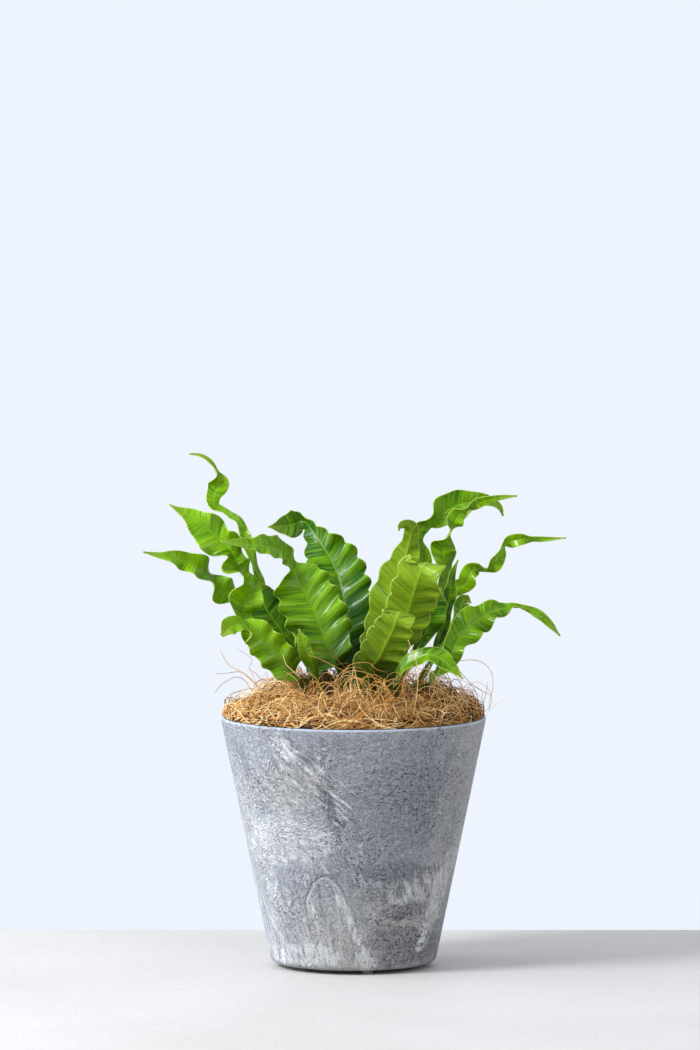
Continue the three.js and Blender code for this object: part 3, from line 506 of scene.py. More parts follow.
def bladeGrid(frond, seed):
    # the middle face of a blade: rows along the midrib, columns across it
    line, faces, sides, halfWidth, length = ribFrames(frond)
    rows = int(round(length / bladeForm["rowStep"]))
    even = np.linspace(0, 1, rows + 1)
    stops = np.linspace(0, 1, len(line))

    def pick(values):
        return np.stack([np.interp(even, stops, values[:, k]) for k in range(3)], 1)[:, None]

    half = bladeForm["columns"]
    column = np.array([-place for place in half[:0:-1]] + half)[None]
    out = np.abs(column)
    share = even[:, None]
    reach = np.interp(even, stops, halfWidth)[:, None]
    swell, turns, broad, fine = bladeWaves(frond, seed, share, column, reach, length)
    fullness = (reach / halfWidth.max()) ** bladeForm["fullness"]
    slope = np.tan(np.radians(stations(frond.get("cup", [bladeForm["cup"]]), even)))[:, None]
    high = frond["wave"] * swell * fullness * stations(frond.get("swells", [1]), even)[:, None]
    crisp = bladeForm["crisp"]
    rise = out * reach * slope + high * broad * out ** bladeForm["marginPower"]
    rise = rise + high * crisp["height"] * fine * out ** crisp["power"]
    scallop = 1 + bladeForm["scallop"] * swell * out * np.cos(math.tau * turns)
    spread = column * reach * scallop / np.sqrt(1 + slope * slope)
    middle = pick(line) + pick(sides) * spread[..., None] + pick(faces) * rise[..., None]
    pleat = broad * swell * fullness * out ** bladeForm["pleatPower"]
    return middle, pick(faces), share, column, reach, length, pleat


def bladeDepths(share, column, reach):
    # how far the two faces stand off the middle one: thin at the margin, round in the stalk, with a
    # groove over the midrib and a ridge under it
    form = bladeForm
    out = np.abs(column)
    ribGap = column * reach
    stalk = 1 - ease(share / form["stalkEnd"])
    thick = mix(form["edge"], form["body"], (1 - out) ** form["bodyPower"])
    thick = mix(thick, form["stalk"] * np.sqrt(np.clip(form["stalkRound"] - out ** 2, 0, 1)), stalk)
    upper = mix(form["faceRise"], thick / 2, stalk)
    fade = (1 - stalk) * (1 - form["thinning"] * share)
    groove = form["groove"] * np.exp(-(ribGap / form["grooveWidth"]) ** 2) * fade
    ridge = form["ridge"] * np.exp(-(ribGap / form["ridgeWidth"]) ** 2) * fade
    return upper - groove, upper - thick - ridge


def bladeFaces(rows, columns):
    # the upper face, the under face, and the four strips that join their edges
    upper = np.arange(rows * columns).reshape(rows, columns)
    under = upper + rows * columns
    faces = []
    for grid, order in ((upper, (0, 1, 2, 3)), (under, (0, 3, 2, 1))):
        corners = (grid[:-1, :-1], grid[:-1, 1:], grid[1:, 1:], grid[1:, :-1])
        faces.append(np.stack([corners[k] for k in order], -1).reshape(-1, 4))
    for line, deep, turned in ((upper[:, 0], under[:, 0], False), (upper[:, -1], under[:, -1], True),
                               (upper[0], under[0], True), (upper[-1], under[-1], False)):
        strip = np.stack([line[:-1], line[1:], deep[1:], deep[:-1]], -1)
        faces.append(strip[:, ::-1] if turned else strip)
    return np.vstack(faces)


def addFrond(name, frond, finish, seed):
    middle, faceOut, share, column, reach, length, pleat = bladeGrid(frond, seed)
    rows, columns = middle.shape[:2]
    normal = unit(np.cross(np.gradient(middle, axis=1), np.gradient(middle, axis=0)))
    normal = normal * np.where((normal * faceOut).sum(-1, keepdims=True) < 0, -1, 1)
    upper, under = bladeDepths(share, column, reach)
    layers = [middle + normal * upper[..., None], middle + normal * under[..., None]]
    points = np.vstack([layer.reshape(-1, 3) for layer in layers])
    faces = bladeFaces(rows, columns)
    # the grid may run either way round, so one face near its middle shows which side is out
    probe = rows * columns // 2
    corners = points[faces[probe]]
    facing = np.cross(corners[1] - corners[0], corners[3] - corners[0])
    if facing.dot(normal.reshape(-1, 3)[probe]) < 0:
        faces = faces[:, ::-1]
    both = np.ones((2, rows, columns))
    values = {
        "ribGap": both * (column * reach), "edgeGap": both * ((1 - np.abs(column)) * reach),
        "alongBlade": both * (share * length), "tipward": both * share, "lime": both * frond["lime"],
        "underFace": both * np.array([0, 1])[:, None, None],
        # how far each face stands up in its pleats
        "crest": both * np.array([1, -1])[:, None, None] * pleat,
    }
    meshPiece(name + "_blade", points, faces.tolist(), finish, [name], values)


# Clouds are given as their scale, detail and roughness. Edges are where something begins and where
# it is full: in millimetres from the midrib, the margin or the root, in shares of the length at the
# tip, or in a cloud's values. A share is how strongly it shows.
leafLook = {
    "deep": tone(36, 88, 0), "fresh": tone(136, 190, 2), "underDeep": tone(62, 100, 4),
    "underPale": tone(150, 184, 34), "margin": tone(186, 210, 84), "rib": tone(140, 178, 40),
    "foot": tone(50, 40, 18), "shaded": tone(14, 40, 2), "tip": tone(150, 160, 70),
    # clouds of tone, and the veins and bands that cross a blade
    "broad": (45, 3, 0.55), "uneven": (160, 2, 0.5), "fine": (420, 2, 0.6),
    "veins": (0.95, 2, 0.6), "bands": (0.3, 3, 0.6),
    "veinStretch": 0.05, "veinLean": 0.42, "veinWander": 3.0, "veinApart": 40,
    "veinEdges": (0.36, 0.6), "veinPastRib": (0.5, 2.2), "veinInMargin": (0.1, 1.0),
    # how much each of them lightens a place; on the crests of the pleats this is painted light, and in their
    # troughs painted shade
    "broadShade": 0.9, "bandShade": 1.3, "veinShade": 0.42, "crestPaintedLight": 0.34, "darker": 0.05,
    "ribEdges": (0.25, 0.8), "ribShare": 0.45, "ribUnderShare": 0.35,
    "marginEdges": (0.12, 0.55), "marginShare": 0.75, "tipEdges": (0.9, 1.0), "tipShare": 0.4,
    "shadedEdges": (34, 84), "shadedRagged": 20, "shadedShare": 0.8,
    "footEdges": (14, 34), "footRagged": 14,
    "rough": 0.38, "roughUnder": 0.12, "roughVein": 0.08, "roughCloud": 0.16, "specular": 0.2,
    "bump": 0.00022, "veinBump": 0.8, "fineBump": 0.2, "broadBump": 0.5,
    # the crests of the waves are the glossiest
    "coat": 0.36, "coatRough": 0.1, "coatUnder": 0.8, "coatEdges": (0.3, 0.55),
    "crestEdges": (-0.1, 0.5), "crestCoat": (0.45, 1.2), "limeCoat": (0.6, 0.55),
    # light comes through the pale parts of a blade more than through its deep parts and its foot
    "behind": tone(126, 174, 14), "glow": 0.24, "glowShade": (0.5, 0.6), "glowEdges": (14, 70),
}


def leafVeins(look, ribGap, edgeGap, along, broad, lime):
    # the transverse veins and bands lean towards the tip as they leave the midrib
    fromRib = look.absolute(ribGap)
    lean = along - fromRib * leafLook["veinLean"] + (broad - 0.5) * leafLook["veinWander"]
    beside = look.node("CombineXYZ", None, {0: ribGap * leafLook["veinStretch"], 1: lean,
                                             2: lime * leafLook["veinApart"]})
    veins = look.cloud(beside, *leafLook["veins"])
    bands = look.cloud(beside, *leafLook["bands"])
    clear = look.slope(fromRib, *leafLook["veinPastRib"]) * look.slope(edgeGap, *leafLook["veinInMargin"])
    return veins, bands, (look.slope(veins, *leafLook["veinEdges"]) - 0.5) * clear


def leafFinish():
    look = newFinish("glossyFrond")
    place = look.place()
    ribGap, edgeGap, along, under, lime, tipward, crest = (
        look.painted(name) for name in
        ("ribGap", "edgeGap", "alongBlade", "underFace", "lime", "tipward", "crest"))
    broad, fine, uneven = (look.cloud(place, *leafLook[name]) for name in ("broad", "fine", "uneven"))
    veins, bands, vein = leafVeins(look, ribGap, edgeGap, along, broad, lime)
    shade = lime + (broad - 0.5) * leafLook["broadShade"] + (bands - 0.5) * leafLook["bandShade"]
    # painted light on the crests of the pleats and painted shade in their troughs
    shade = shade + vein * leafLook["veinShade"] + crest * leafLook["crestPaintedLight"] - leafLook["darker"]
    shade = look.maths("MAXIMUM", look.maths("MINIMUM", shade, 1.0), 0.0)
    upperColour = look.blend(shade, leafLook["deep"], leafLook["fresh"])
    underColour = look.blend(shade, leafLook["underDeep"], leafLook["underPale"])
    colour = look.blend(under, upperColour, underColour)
    onRib = 1 - look.slope(look.absolute(ribGap), *leafLook["ribEdges"])
    onMargin = 1 - look.slope(edgeGap, *leafLook["marginEdges"])
    onTip = look.slope(tipward, *leafLook["tipEdges"])
    inShade = 1 - look.slope(along + (uneven - 0.5) * leafLook["shadedRagged"], *leafLook["shadedEdges"])
    onFoot = 1 - look.slope(along + (fine - 0.5) * leafLook["footRagged"], *leafLook["footEdges"])
    # each spot by the share of it that shows, with the name of its colour
    for spot, name in ((onRib * (leafLook["ribShare"] + under * leafLook["ribUnderShare"]), "rib"),
                       (onMargin * leafLook["marginShare"], "margin"), (onTip * leafLook["tipShare"], "tip"),
                       (inShade * leafLook["shadedShare"], "shaded"), (onFoot, "foot")):
        colour = look.blend(spot, colour, leafLook[name])
    rough = leafLook["rough"] + under * leafLook["roughUnder"] - vein * leafLook["roughVein"]
    rough = rough + (fine + uneven - 1) * leafLook["roughCloud"]
    height = vein * leafLook["veinBump"] + fine * leafLook["fineBump"] + broad * leafLook["broadBump"]
    bump = look.bumped(height, leafLook["bump"])
    coat = (1 - under * leafLook["coatUnder"]) * leafLook["coat"] * look.slope(veins, *leafLook["coatEdges"])
    (plain, crested), (deep, fresh) = leafLook["crestCoat"], leafLook["limeCoat"]
    coat = coat * (plain + look.slope(crest, *leafLook["crestEdges"]) * crested) * (deep + lime * fresh)
    skin = look.skin(colour, rough, bump, coat=coat, coatRough=leafLook["coatRough"],
                     specular=leafLook["specular"])
    glow = look.node("BsdfTranslucent", None, {"Color": leafLook["behind"], "Normal": bump})
    deep, fresh = leafLook["glowShade"]
    passing = leafLook["glow"] * (deep + shade * fresh) * look.slope(along, *leafLook["glowEdges"])
    return look.show(look.node("MixShader", None, {0: passing, 1: skin, 2: glow}))


leaf = leafFinish()
for number, (name, frond) in enumerate(fronds.items()):
    addFrond(name, frond, leaf, bladeForm["seed"] + number)
print("fronds built:", len(fronds))


# pot

potForm = {
    "rimRadius": photoView["rimAcross"] / 2, "rimHeight": 160, "baseRadius": 52.5, "bottom": 2.5,
    "wall": 4.5, "floor": 7, "corner": 4.5, "rimRound": 1.2, "rimLean": 0.25, "innerRound": 1,
    # rings under the pot and on its floor and inner wall, and steps of the outer wall
    "underShares": (0.2, 0.5, 0.8), "floorRing": 15, "innerRings": (110, 60, 30), "bands": 44,
    "cornerStops": 9, "rimStops": 6, "innerStops": 5, "sides": 192, "sharpFrom": 40,
}
footForm = {
    "radius": 4, "ring": 43, "angles": [-78, 42, 162], "sides": 48, "core": 0.4, "sunk": 0.6,
    # insets and heights of the rounded lower edge and of the shoulder under the pot
    "edge": [(1.1, 0), (0.75, 0.12), (0.6, 0.4)], "shoulder": (0.2, 0.5),
}
wallSlope = (potForm["rimRadius"] - potForm["baseRadius"]) / (potForm["rimHeight"] - potForm["bottom"])


def outerRadius(height):
    return potForm["baseRadius"] + (height - potForm["bottom"]) * wallSlope


def innerRadius(height):
    return outerRadius(height) - potForm["wall"]


def turnedPiece(name, profile, sides, finish, covers=()):
    # a profile of radius and height, turned about the upright axis; flat discs close its ends
    angle = np.linspace(0, math.tau, sides, endpoint=False)
    points = []
    for radius, height in profile:
        points.append(np.stack([radius * np.cos(angle), radius * np.sin(angle), height + 0 * angle], -1))
    grid = np.arange(len(profile) * sides).reshape(-1, sides)
    turned = np.roll(grid, -1, axis=1)
    quads = np.stack([grid[:-1], turned[:-1], turned[1:], grid[1:]], -1).reshape(-1, 4)
    ends = [grid[0, ::-1].tolist(), grid[-1].tolist()]
    piece = meshPiece(name, np.vstack(points), quads.tolist() + ends, finish, covers)
    piece.data.set_sharp_from_angle(angle=math.radians(potForm["sharpFrom"]))
    return piece


def arc(centre, wide, high, angles):
    # points on a round edge, from its centre and how far it reaches across and up
    return [(centre[0] + wide * math.cos(angle), centre[1] + high * math.sin(angle)) for angle in angles]


def potProfile():
    form = potForm
    bottom, rim, corner, lip = form["bottom"], form["rimHeight"], form["corner"], form["rimRound"]
    # the outer corner, round from the flat underside to the leaning wall
    middle = form["baseRadius"] + corner * (wallSlope - math.sqrt(1 + wallSlope ** 2))
    sweep = math.pi / 2 - math.atan(wallSlope)
    profile = [(middle * share, bottom) for share in form["underShares"]]
    for angle in np.linspace(0, sweep, form["cornerStops"]):
        profile.append((middle + corner * math.sin(angle), bottom + corner * (1 - math.cos(angle))))
    start = profile[-1][1]
    for share in np.linspace(0, 1, form["bands"] + 1)[1:]:
        height = mix(start, rim - lip, share)
        profile.append((outerRadius(height), height))
    profile += arc((form["rimRadius"] - lip, rim - lip), lip - form["rimLean"], lip,
                   np.linspace(0, math.pi / 2, form["rimStops"])[1:])
    small = form["innerRound"]
    profile += arc((innerRadius(rim) + small, rim - small), small, small,
                   np.linspace(math.pi / 2, math.pi, form["innerStops"])[1:])
    floor = bottom + form["floor"]
    for height in (*form["innerRings"], floor + corner):
        profile.append((innerRadius(height), height))
    return profile + [(innerRadius(floor) - corner, floor), (form["floorRing"], floor)]


def footProfile():
    # a foot is sunk a little into the pot's underside
    radius, top = footForm["radius"], potForm["bottom"] + footForm["sunk"]
    inset, drop = footForm["shoulder"]
    core = radius * footForm["core"]
    edge = [(radius - gap, height) for gap, height in footForm["edge"]]
    return [(core, 0)] + edge + [(radius - inset, top - drop), (radius, top), (core, top)]


# Clouds are given as their scale, detail, roughness and distortion. Edges are where something begins
# and where it is full, in a cloud's values or, for heights, in millimetres; a third number is how
# strongly it shows.
potLook = {
    "cool": tone(132, 136, 146), "warm": tone(166, 163, 158), "pale": tone(224, 226, 228),
    "dark": tone(54, 59, 70), "pit": tone(36, 40, 48), "rim": tone(192, 202, 218),
    # slow swirls carry every finer mark along with them
    "swirlCloud": (9, 3, 0.55, 0.5), "swirl": 0.052,
    "zoneCloud": (14, 4, 0.6), "darkZones": (0.54, 0.72, 0.5),
    "warmCloud": (7, 2, 0.5), "warmZones": (0.46, 0.66, 0.8),
    "raggedCloud": (60, 4, 0.65), "ragged": 1.5, "markEdges": (0.75, 1.15),
    # strokes fall to the right high up, stand low down, and lie level between, at these degrees
    "slant": -52, "steep": -14, "level": 84, "stretch": 10,
    "strokeCloud": (430, 4, 0.6, 0.2), "levelCloud": (620, 4, 0.6, 0.2),
    "lowDown": (55, 85), "lowRagged": 120, "slantEdges": (0.5, 0.56),
    "streaks": (0.38, 0.62), "streaky": 0.35,
    "strokeTones": {"pale": (0.54, 0.76, 0.4), "dark": (0.48, 0.28, 0.5)},
    "streamEdges": {"pale": (0.53, 0.7), "dark": (0.49, 0.36)},
    "crinkleCloud": (620, 5, 0.72, 0.7),
    "crinkleTones": {"pale": (0.5, 0.66, 0.3), "dark": (0.49, 0.34, 0.5)},
    "grainCloud": (1000, 3, 0.75),
    "grainTones": {"pale": (0.5, 0.7, 0.42), "dark": (0.5, 0.32, 0.4)},
    # small pits gather in patches
    "pitScale": 300, "pitFlat": (0.8, 1.0, 2.2), "pitEdges": (0.14, 0.3), "pitShare": 0.75,
    # the pale blue rim colour, shown near the top of the lip, is a painted highlight
    "patchCloud": (22, 3, 0.5), "patchEdges": (0.5, 0.62), "rimHighlightEdges": (158.3, 159.1, 0.65),
    # thin creases, with painted shade on one side and a painted highlight on the other, which stands up
    "creaseCloud": (24, 4, 0.6, 0.8), "creaseWidth": 0.012, "creaseGap": 0.018, "creaseWhere": (0.4, 0.56),
    "creasePaintedShade": 0.26, "creasePaintedHighlight": 0.34,
    "rough": 0.46, "roughStrokes": 0.35, "roughPits": 0.3, "specular": 0.5, "bump": 0.0016,
    "relief": {"strokes": 0.8, "streams": 0.7, "crinkle": 0.5, "grain": 0.3, "pits": -1.0,
               "crease": -0.45, "beside": 0.35, "outline": -0.3, "inner": 0.2},
}
# broad marks of the front, two of them painted light along its edges: middle (x, z), half width and half
# height in millimetres, lean in degrees, then how strongly the mark shows and its colour
potMarks = [
    {"at": (-38, 121), "half": (26, 16), "lean": 6, "share": 0.62, "colour": "warm"},
    {"at": (-38, 86), "half": (30, 18), "lean": 0, "share": 0.42, "colour": "pale"},
    {"at": (-42, 145), "half": (13, 6), "lean": -30, "share": 0.5, "colour": "pale"},
    {"at": (38, 112), "half": (38, 24), "lean": 0, "share": 0.2, "colour": "dark"},
    {"at": (28, 67), "half": (28, 7), "lean": -4, "share": 0.6, "colour": "dark"},
    {"at": (33, 41), "half": (16, 6), "lean": 0, "share": 0.6, "colour": "dark"},
    {"at": (-15, 108), "half": (4, 18), "lean": 22, "share": 0.8, "colour": "dark"},
    {"at": (38, 54), "half": (21, 8), "lean": 8, "share": 0.4, "colour": "pale"},
    {"at": (30, 17), "half": (27, 14), "lean": 0, "share": 0.62, "colour": "dark"},
    {"at": (53, 47), "half": (5, 42), "lean": -19, "share": 0.6, "colour": "pale"},
    {"at": (-17, 34), "half": (15, 27), "lean": 0, "share": 0.4, "colour": "warm"},
    {"at": (-3, 36), "half": (3, 32), "lean": 23, "share": 0.45, "colour": "pale"},
    {"at": (-30, 12), "half": (25, 7), "lean": 0, "share": 0.4, "colour": "pale"},
    {"at": (8, 11), "half": (8, 9), "lean": 20, "share": 0.5, "colour": "pale"},
    # painted light: paler down the left edge, where the window lamp falls
    {"at": (-60, 66), "half": (11, 66), "lean": 12, "share": 0.26, "colour": "pale"},
    # painted light: warmer and lighter down the right edge, where light from behind wraps round
    {"at": (66, 92), "half": (17, 66), "lean": -12, "share": 0.4, "colour": "warm"},
    {"at": (-18, 62), "half": (11, 3), "lean": 24, "share": 0.5, "colour": "dark"},
]
potPitted = {"at": (34, 121), "half": (30, 17), "lean": 0}  # where pits gather in front
# an outlined arch low on the pot: it shows from this height up, with a dark outline and a paler
# line inside it, whose places and widths are shares of its own size
potArch = {"at": (-17, 44), "half": (13, 20), "lean": 4, "from": 50, "fade": 16, "ragged": 0.26,
           "width": 0.07, "dark": 0.34, "inner": 0.9, "innerWidth": 0.08, "pale": 0.28}
# where the trowel left clear lines, and which way they run
potStreams = [
    {"at": (-27, 131), "half": (36, 12), "lean": -40, "share": 0.5, "runs": "slant"},
    {"at": (-11, 108), "half": (9, 26), "lean": 24, "share": 0.6, "runs": "slant"},
    {"at": (26, 60), "half": (32, 12), "lean": 0, "share": 0.42, "runs": "steep"},
    {"at": (26, 37), "half": (22, 5), "lean": 0, "share": 0.6, "runs": "level"},
    {"at": (-30, 38), "half": (26, 30), "lean": 0, "share": 0.2, "runs": "steep"},
    {"at": (52, 47), "half": (7, 42), "lean": -19, "share": 0.45, "runs": "steep"},
]


def markReach(look, x, z, mark):
    # how far out a place lies in a mark's ellipse: 0 at its middle, 1 on its edge
    lean = math.radians(mark["lean"])
    overX, overZ = x - mark["at"][0] * mm, z - mark["at"][1] * mm
    wide = (overX * math.cos(lean) + overZ * math.sin(lean)) / (mark["half"][0] * mm)
    high = (overZ * math.cos(lean) - overX * math.sin(lean)) / (mark["half"][1] * mm)
    return look.maths("SQRT", wide * wide + high * high)


def stoneMark(look, x, z, ragged, mark):
    # an ellipse with a ragged edge, 1 inside and 0 outside
    return 1 - look.slope(markReach(look, x, z, mark) + ragged, *potLook["markEdges"])


def stoneStrokes(look, flow, lean, cloud):
    # a cloud drawn out along one direction
    drawn = look.node("Mapping", {"vector_type": "TEXTURE"}, {
        "Vector": flow, "Rotation": (0, math.radians(lean), 0), "Scale": (1, 1, potLook["stretch"])})
    return look.cloud(drawn, *cloud)


def thinLine(look, value, width):
    # 1 where the value is nought, and 0 further off than the width
    return 1 - look.slope(look.absolute(value), 0.0, width)


def twoToned(look, colour, cloud, tones):
    # a cloud's high parts turn pale and its low parts turn dark
    for name, (start, full, share) in tones.items():
        colour = look.blend(look.slope(cloud, start, full) * share, colour, potLook[name])
    return colour


def tinted(look, colour, cloud, edges, name):
    start, full, share = edges
    return look.blend(look.slope(cloud, start, full) * share, colour, potLook[name])


def stonePits(look, flow, patch):
    flat = look.vectors("MULTIPLY", flow, potLook["pitFlat"])
    cells = look.node("TexVoronoi", {"feature": "F1"}, {
        "Vector": flat, "Scale": potLook["pitScale"], "Randomness": 1.0})
    spread = look.slope(look.cloud(flow, *potLook["patchCloud"]), *potLook["patchEdges"])
    return (1 - look.slope(cells, *potLook["pitEdges"])) * look.maths("MAXIMUM", spread, patch)


def stoneArch(look, x, z, ragged):
    # the arch's dark outline and the paler line inside it, which both fade out low down
    reach = markReach(look, x, z, potArch) + ragged * potArch["ragged"]
    shown = look.slope(z, (potArch["from"] - potArch["fade"]) * mm, potArch["from"] * mm)
    outline = thinLine(look, reach - 1, potArch["width"]) * shown
    return outline, thinLine(look, reach - potArch["inner"], potArch["innerWidth"]) * shown


def stoneFinish():
    look = newFinish("marbledStone")
    place = look.place()
    swirl = look.cloud(place, *potLook["swirlCloud"], out=1)
    pushed = look.vectors("MULTIPLY", look.vectors("SUBTRACT", swirl, (0.5,) * 3), (potLook["swirl"],) * 3)
    flow = look.vectors("ADD", place, pushed)
    x, z = (look.node("SeparateXYZ", None, {0: place}, out=axis) for axis in (0, 2))
    zones = look.cloud(flow, *potLook["zoneCloud"])
    warmZones = look.cloud(flow, *potLook["warmCloud"])
    ragged = (look.cloud(flow, *potLook["raggedCloud"]) - 0.5) * potLook["ragged"]
    runs = {
        "slant": stoneStrokes(look, flow, potLook["slant"], potLook["strokeCloud"]),
        "steep": stoneStrokes(look, flow, potLook["steep"], potLook["strokeCloud"]),
        "level": stoneStrokes(look, flow, potLook["level"], potLook["levelCloud"]),
    }
    start, full = (height * mm for height in potLook["lowDown"])
    lowDown = 1 - look.slope(z + (zones - 0.5) * (potLook["lowRagged"] * mm), start, full)
    strokes = look.choose(look.slope(zones, *potLook["slantEdges"]), runs["level"], runs["slant"])
    strokes = look.choose(lowDown, strokes, runs["steep"])
    crinkle = look.cloud(flow, *potLook["crinkleCloud"])
    grain = look.cloud(place, *potLook["grainCloud"])

    colour = tinted(look, potLook["cool"], warmZones, potLook["warmZones"], "warm")
    colour = tinted(look, colour, zones, potLook["darkZones"], "dark")
    streaky = potLook["streaky"] + look.slope(strokes, *potLook["streaks"])
    for mark in potMarks:
        shown = stoneMark(look, x, z, ragged, mark) * streaky * mark["share"]
        colour = look.blend(shown, colour, potLook[mark["colour"]])
    colour = twoToned(look, colour, strokes, potLook["strokeTones"])
    colour = twoToned(look, colour, crinkle, potLook["crinkleTones"])
    streams = 0
    for stream in potStreams:
        shown = stoneMark(look, x, z, ragged, stream) * stream["share"]
        lines = runs[stream["runs"]]
        tones = {name: (*edges, shown) for name, edges in potLook["streamEdges"].items()}
        colour = twoToned(look, colour, lines, tones)
        streams = lines * shown + streams
    colour = twoToned(look, colour, grain, potLook["grainTones"])
    pits = stonePits(look, flow, stoneMark(look, x, z, ragged, potPitted))
    colour = look.blend(pits * potLook["pitShare"], colour, potLook["pit"])
    # a painted highlight along the top of the lip
    start, full, share = potLook["rimHighlightEdges"]
    colour = look.blend(look.slope(z, start * mm, full * mm) * share, colour, potLook["rim"])
    fold = look.cloud(flow, *potLook["creaseCloud"]) - 0.5
    where = look.slope(strokes, *potLook["creaseWhere"])
    crease = thinLine(look, fold, potLook["creaseWidth"]) * where
    beside = thinLine(look, fold - potLook["creaseGap"], potLook["creaseWidth"]) * where
    outline, inner = stoneArch(look, x, z, ragged)
    # the creases' dark and pale lines are painted shade and painted highlight; the arch's lines are its own
    # colour
    for line, name, share in (
            (crease, "dark", potLook["creasePaintedShade"]), (beside, "pale", potLook["creasePaintedHighlight"]),
            (outline, "dark", potArch["dark"]), (inner, "pale", potArch["pale"])):
        colour = look.blend(line * share, colour, potLook[name])

    rough = potLook["rough"] + (strokes - 0.5) * potLook["roughStrokes"] + pits * potLook["roughPits"]
    reliefs = {"strokes": strokes, "streams": streams, "crinkle": crinkle, "grain": grain, "pits": pits,
               "crease": crease, "beside": beside, "outline": outline, "inner": inner}
    height = 0
    for name, share in potLook["relief"].items():
        height = reliefs[name] * share + height
    bump = look.bumped(height, potLook["bump"])
    return look.show(look.skin(colour, rough, bump, specular=potLook["specular"]))


stone = stoneFinish()
turnedPiece("pot_shell", potProfile(), potForm["sides"], stone, ["pot"])
for number, angle in enumerate(footForm["angles"]):
    foot = turnedPiece("pot_foot_" + str(number + 1), footProfile(), footForm["sides"], stone)
    turn = math.radians(angle)
    spot = Vector((footForm["ring"] * math.cos(turn), footForm["ring"] * math.sin(turn), 0))
    foot.data.transform(Matrix.Translation(spot * mm))
print("pot built")


# soil and crown keep their solids, under a finish of their own

crumbLook = {
    "soil": {"name": "pottingSoil", "dark": tone(34, 22, 15), "light": tone(84, 60, 42), "scale": 260},
    "crown": {"name": "scalyRootstock", "dark": tone(44, 28, 15), "light": tone(96, 66, 38), "scale": 340},
    "feltInShade": {"name": "mattedCoirPaintedShade", "dark": tone(18, 10, 4), "light": tone(58, 34, 14), "scale": 420},
    "lumpDetail": (6, 0.7), "lumpEdges": (0.35, 0.7), "rough": 0.75, "roughLumps": 0.3, "bump": 0.0016,
    "grit": tone(150, 120, 84), "gritPace": 2.2, "gritEdges": (0.1, 0.0), "gritShare": 0.6, "gritBump": 0.5,
}


def crumblyFinish(kind):
    tones = crumbLook[kind]
    look = newFinish(tones["name"])
    place = look.place()
    lumps = look.cloud(place, tones["scale"], *crumbLook["lumpDetail"])
    grit = look.node("TexVoronoi", {"feature": "F1"}, {
        "Vector": place, "Scale": tones["scale"] * crumbLook["gritPace"]})
    colour = look.blend(look.slope(lumps, *crumbLook["lumpEdges"]), tones["dark"], tones["light"])
    gritty = look.slope(grit, *crumbLook["gritEdges"]) * crumbLook["gritShare"]
    colour = look.blend(gritty, colour, crumbLook["grit"])
    bump = look.bumped(lumps + grit * crumbLook["gritBump"], crumbLook["bump"])
    return look.show(look.skin(colour, crumbLook["rough"] + (lumps - 0.5) * crumbLook["roughLumps"], bump))


for kind in ("soil", "crown"):
    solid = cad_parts[kind]
    solid.data.materials.clear()
    solid.data.materials.append(crumblyFinish(kind))


# coconut fibre

coirForm = {
    # the heap: height at the rim, its mouth round the crown, the rise of its sides and how it falls
    "edgeHeight": 162.4, "mouth": 45, "mouthLow": 31, "reach": 83.4, "bottom": 146.6,
    "lift": {"side": 13.5, "left": 17, "front": 3.5}, "fall": {"side": 1, "left": 1.5},
    "front": {"start": 0.1, "length": 0.8}, "ripples": [(3, 1, 1.1), (7, 0, 0.8)],
    "hollow": 20, "hollowReach": 0.36, "hollowPower": 1.4,
    # fibres that lie over the rim stay above this height, from this far out
    "ledge": 160.6, "ledgeStart": 79.5, "ledgePlay": 0.25, "seed": 11,
    # a fibre's thickness at its ends, as a share, how blunt they are, and how far its sides lean
    "ends": 0.35, "blunt": 0.12, "lean": 0.6,
}
# the matted felt under the loose fibres, whose near-black finish is painted shade in the gaps between them
bedForm = {
    "sides": 160, "bands": 26, "inside": -0.3, "sink": 4.8, "uneven": 0.45, "inset": 0.998,
    "ledge": 160.7, "ledgeStart": 79.8, "rim": 82.9, "skirt": 160.45, "neck": 159.5, "gap": 0.6, "seed": 5,
}
# fibres that lie on the heap in every direction, in layers; springy is the share that stands up more
lyingForm = {
    "count": 1900, "stops": 14, "reach": (30, 83), "length": (26, 76), "bend": 20, "sway": 0.16,
    "limit": (80, 83.6), "layers": (-4.6, 0.6), "springy": 0.3, "spring": (1.2, 3.4), "tilt": 1.6,
    # layerHue makes the deeper layers darker: painted shade
    "ripple": 0.35, "radius": (0.2, 0.36), "hue": -0.3, "layerHue": 0.14, "hueSpread": 0.24,
    "angleStop": 5,  # the stop whose angle tells the fibre's quarter and tone
}
# painted light and shade on the lying fibres: their middle tone, how much paler the lit left and front are,
# and how much darker the front gets, from start over length, in the shade of the leaves
sunForm = {"middle": 0.5, "left": 0.22, "front": 0.1, "shaded": 0.22, "start": 0.3, "length": 0.6}
# quarters of the heap, from one angle to another in radians, and the seed of their fibres
coirQuarters = {"front": (-2.36, -0.79, 0), "right": (-0.79, 0.79, 1), "back": (0.79, 2.36, 2)}
fibreSeeds = {"left": 9, "springs": 10, "loose": 20}
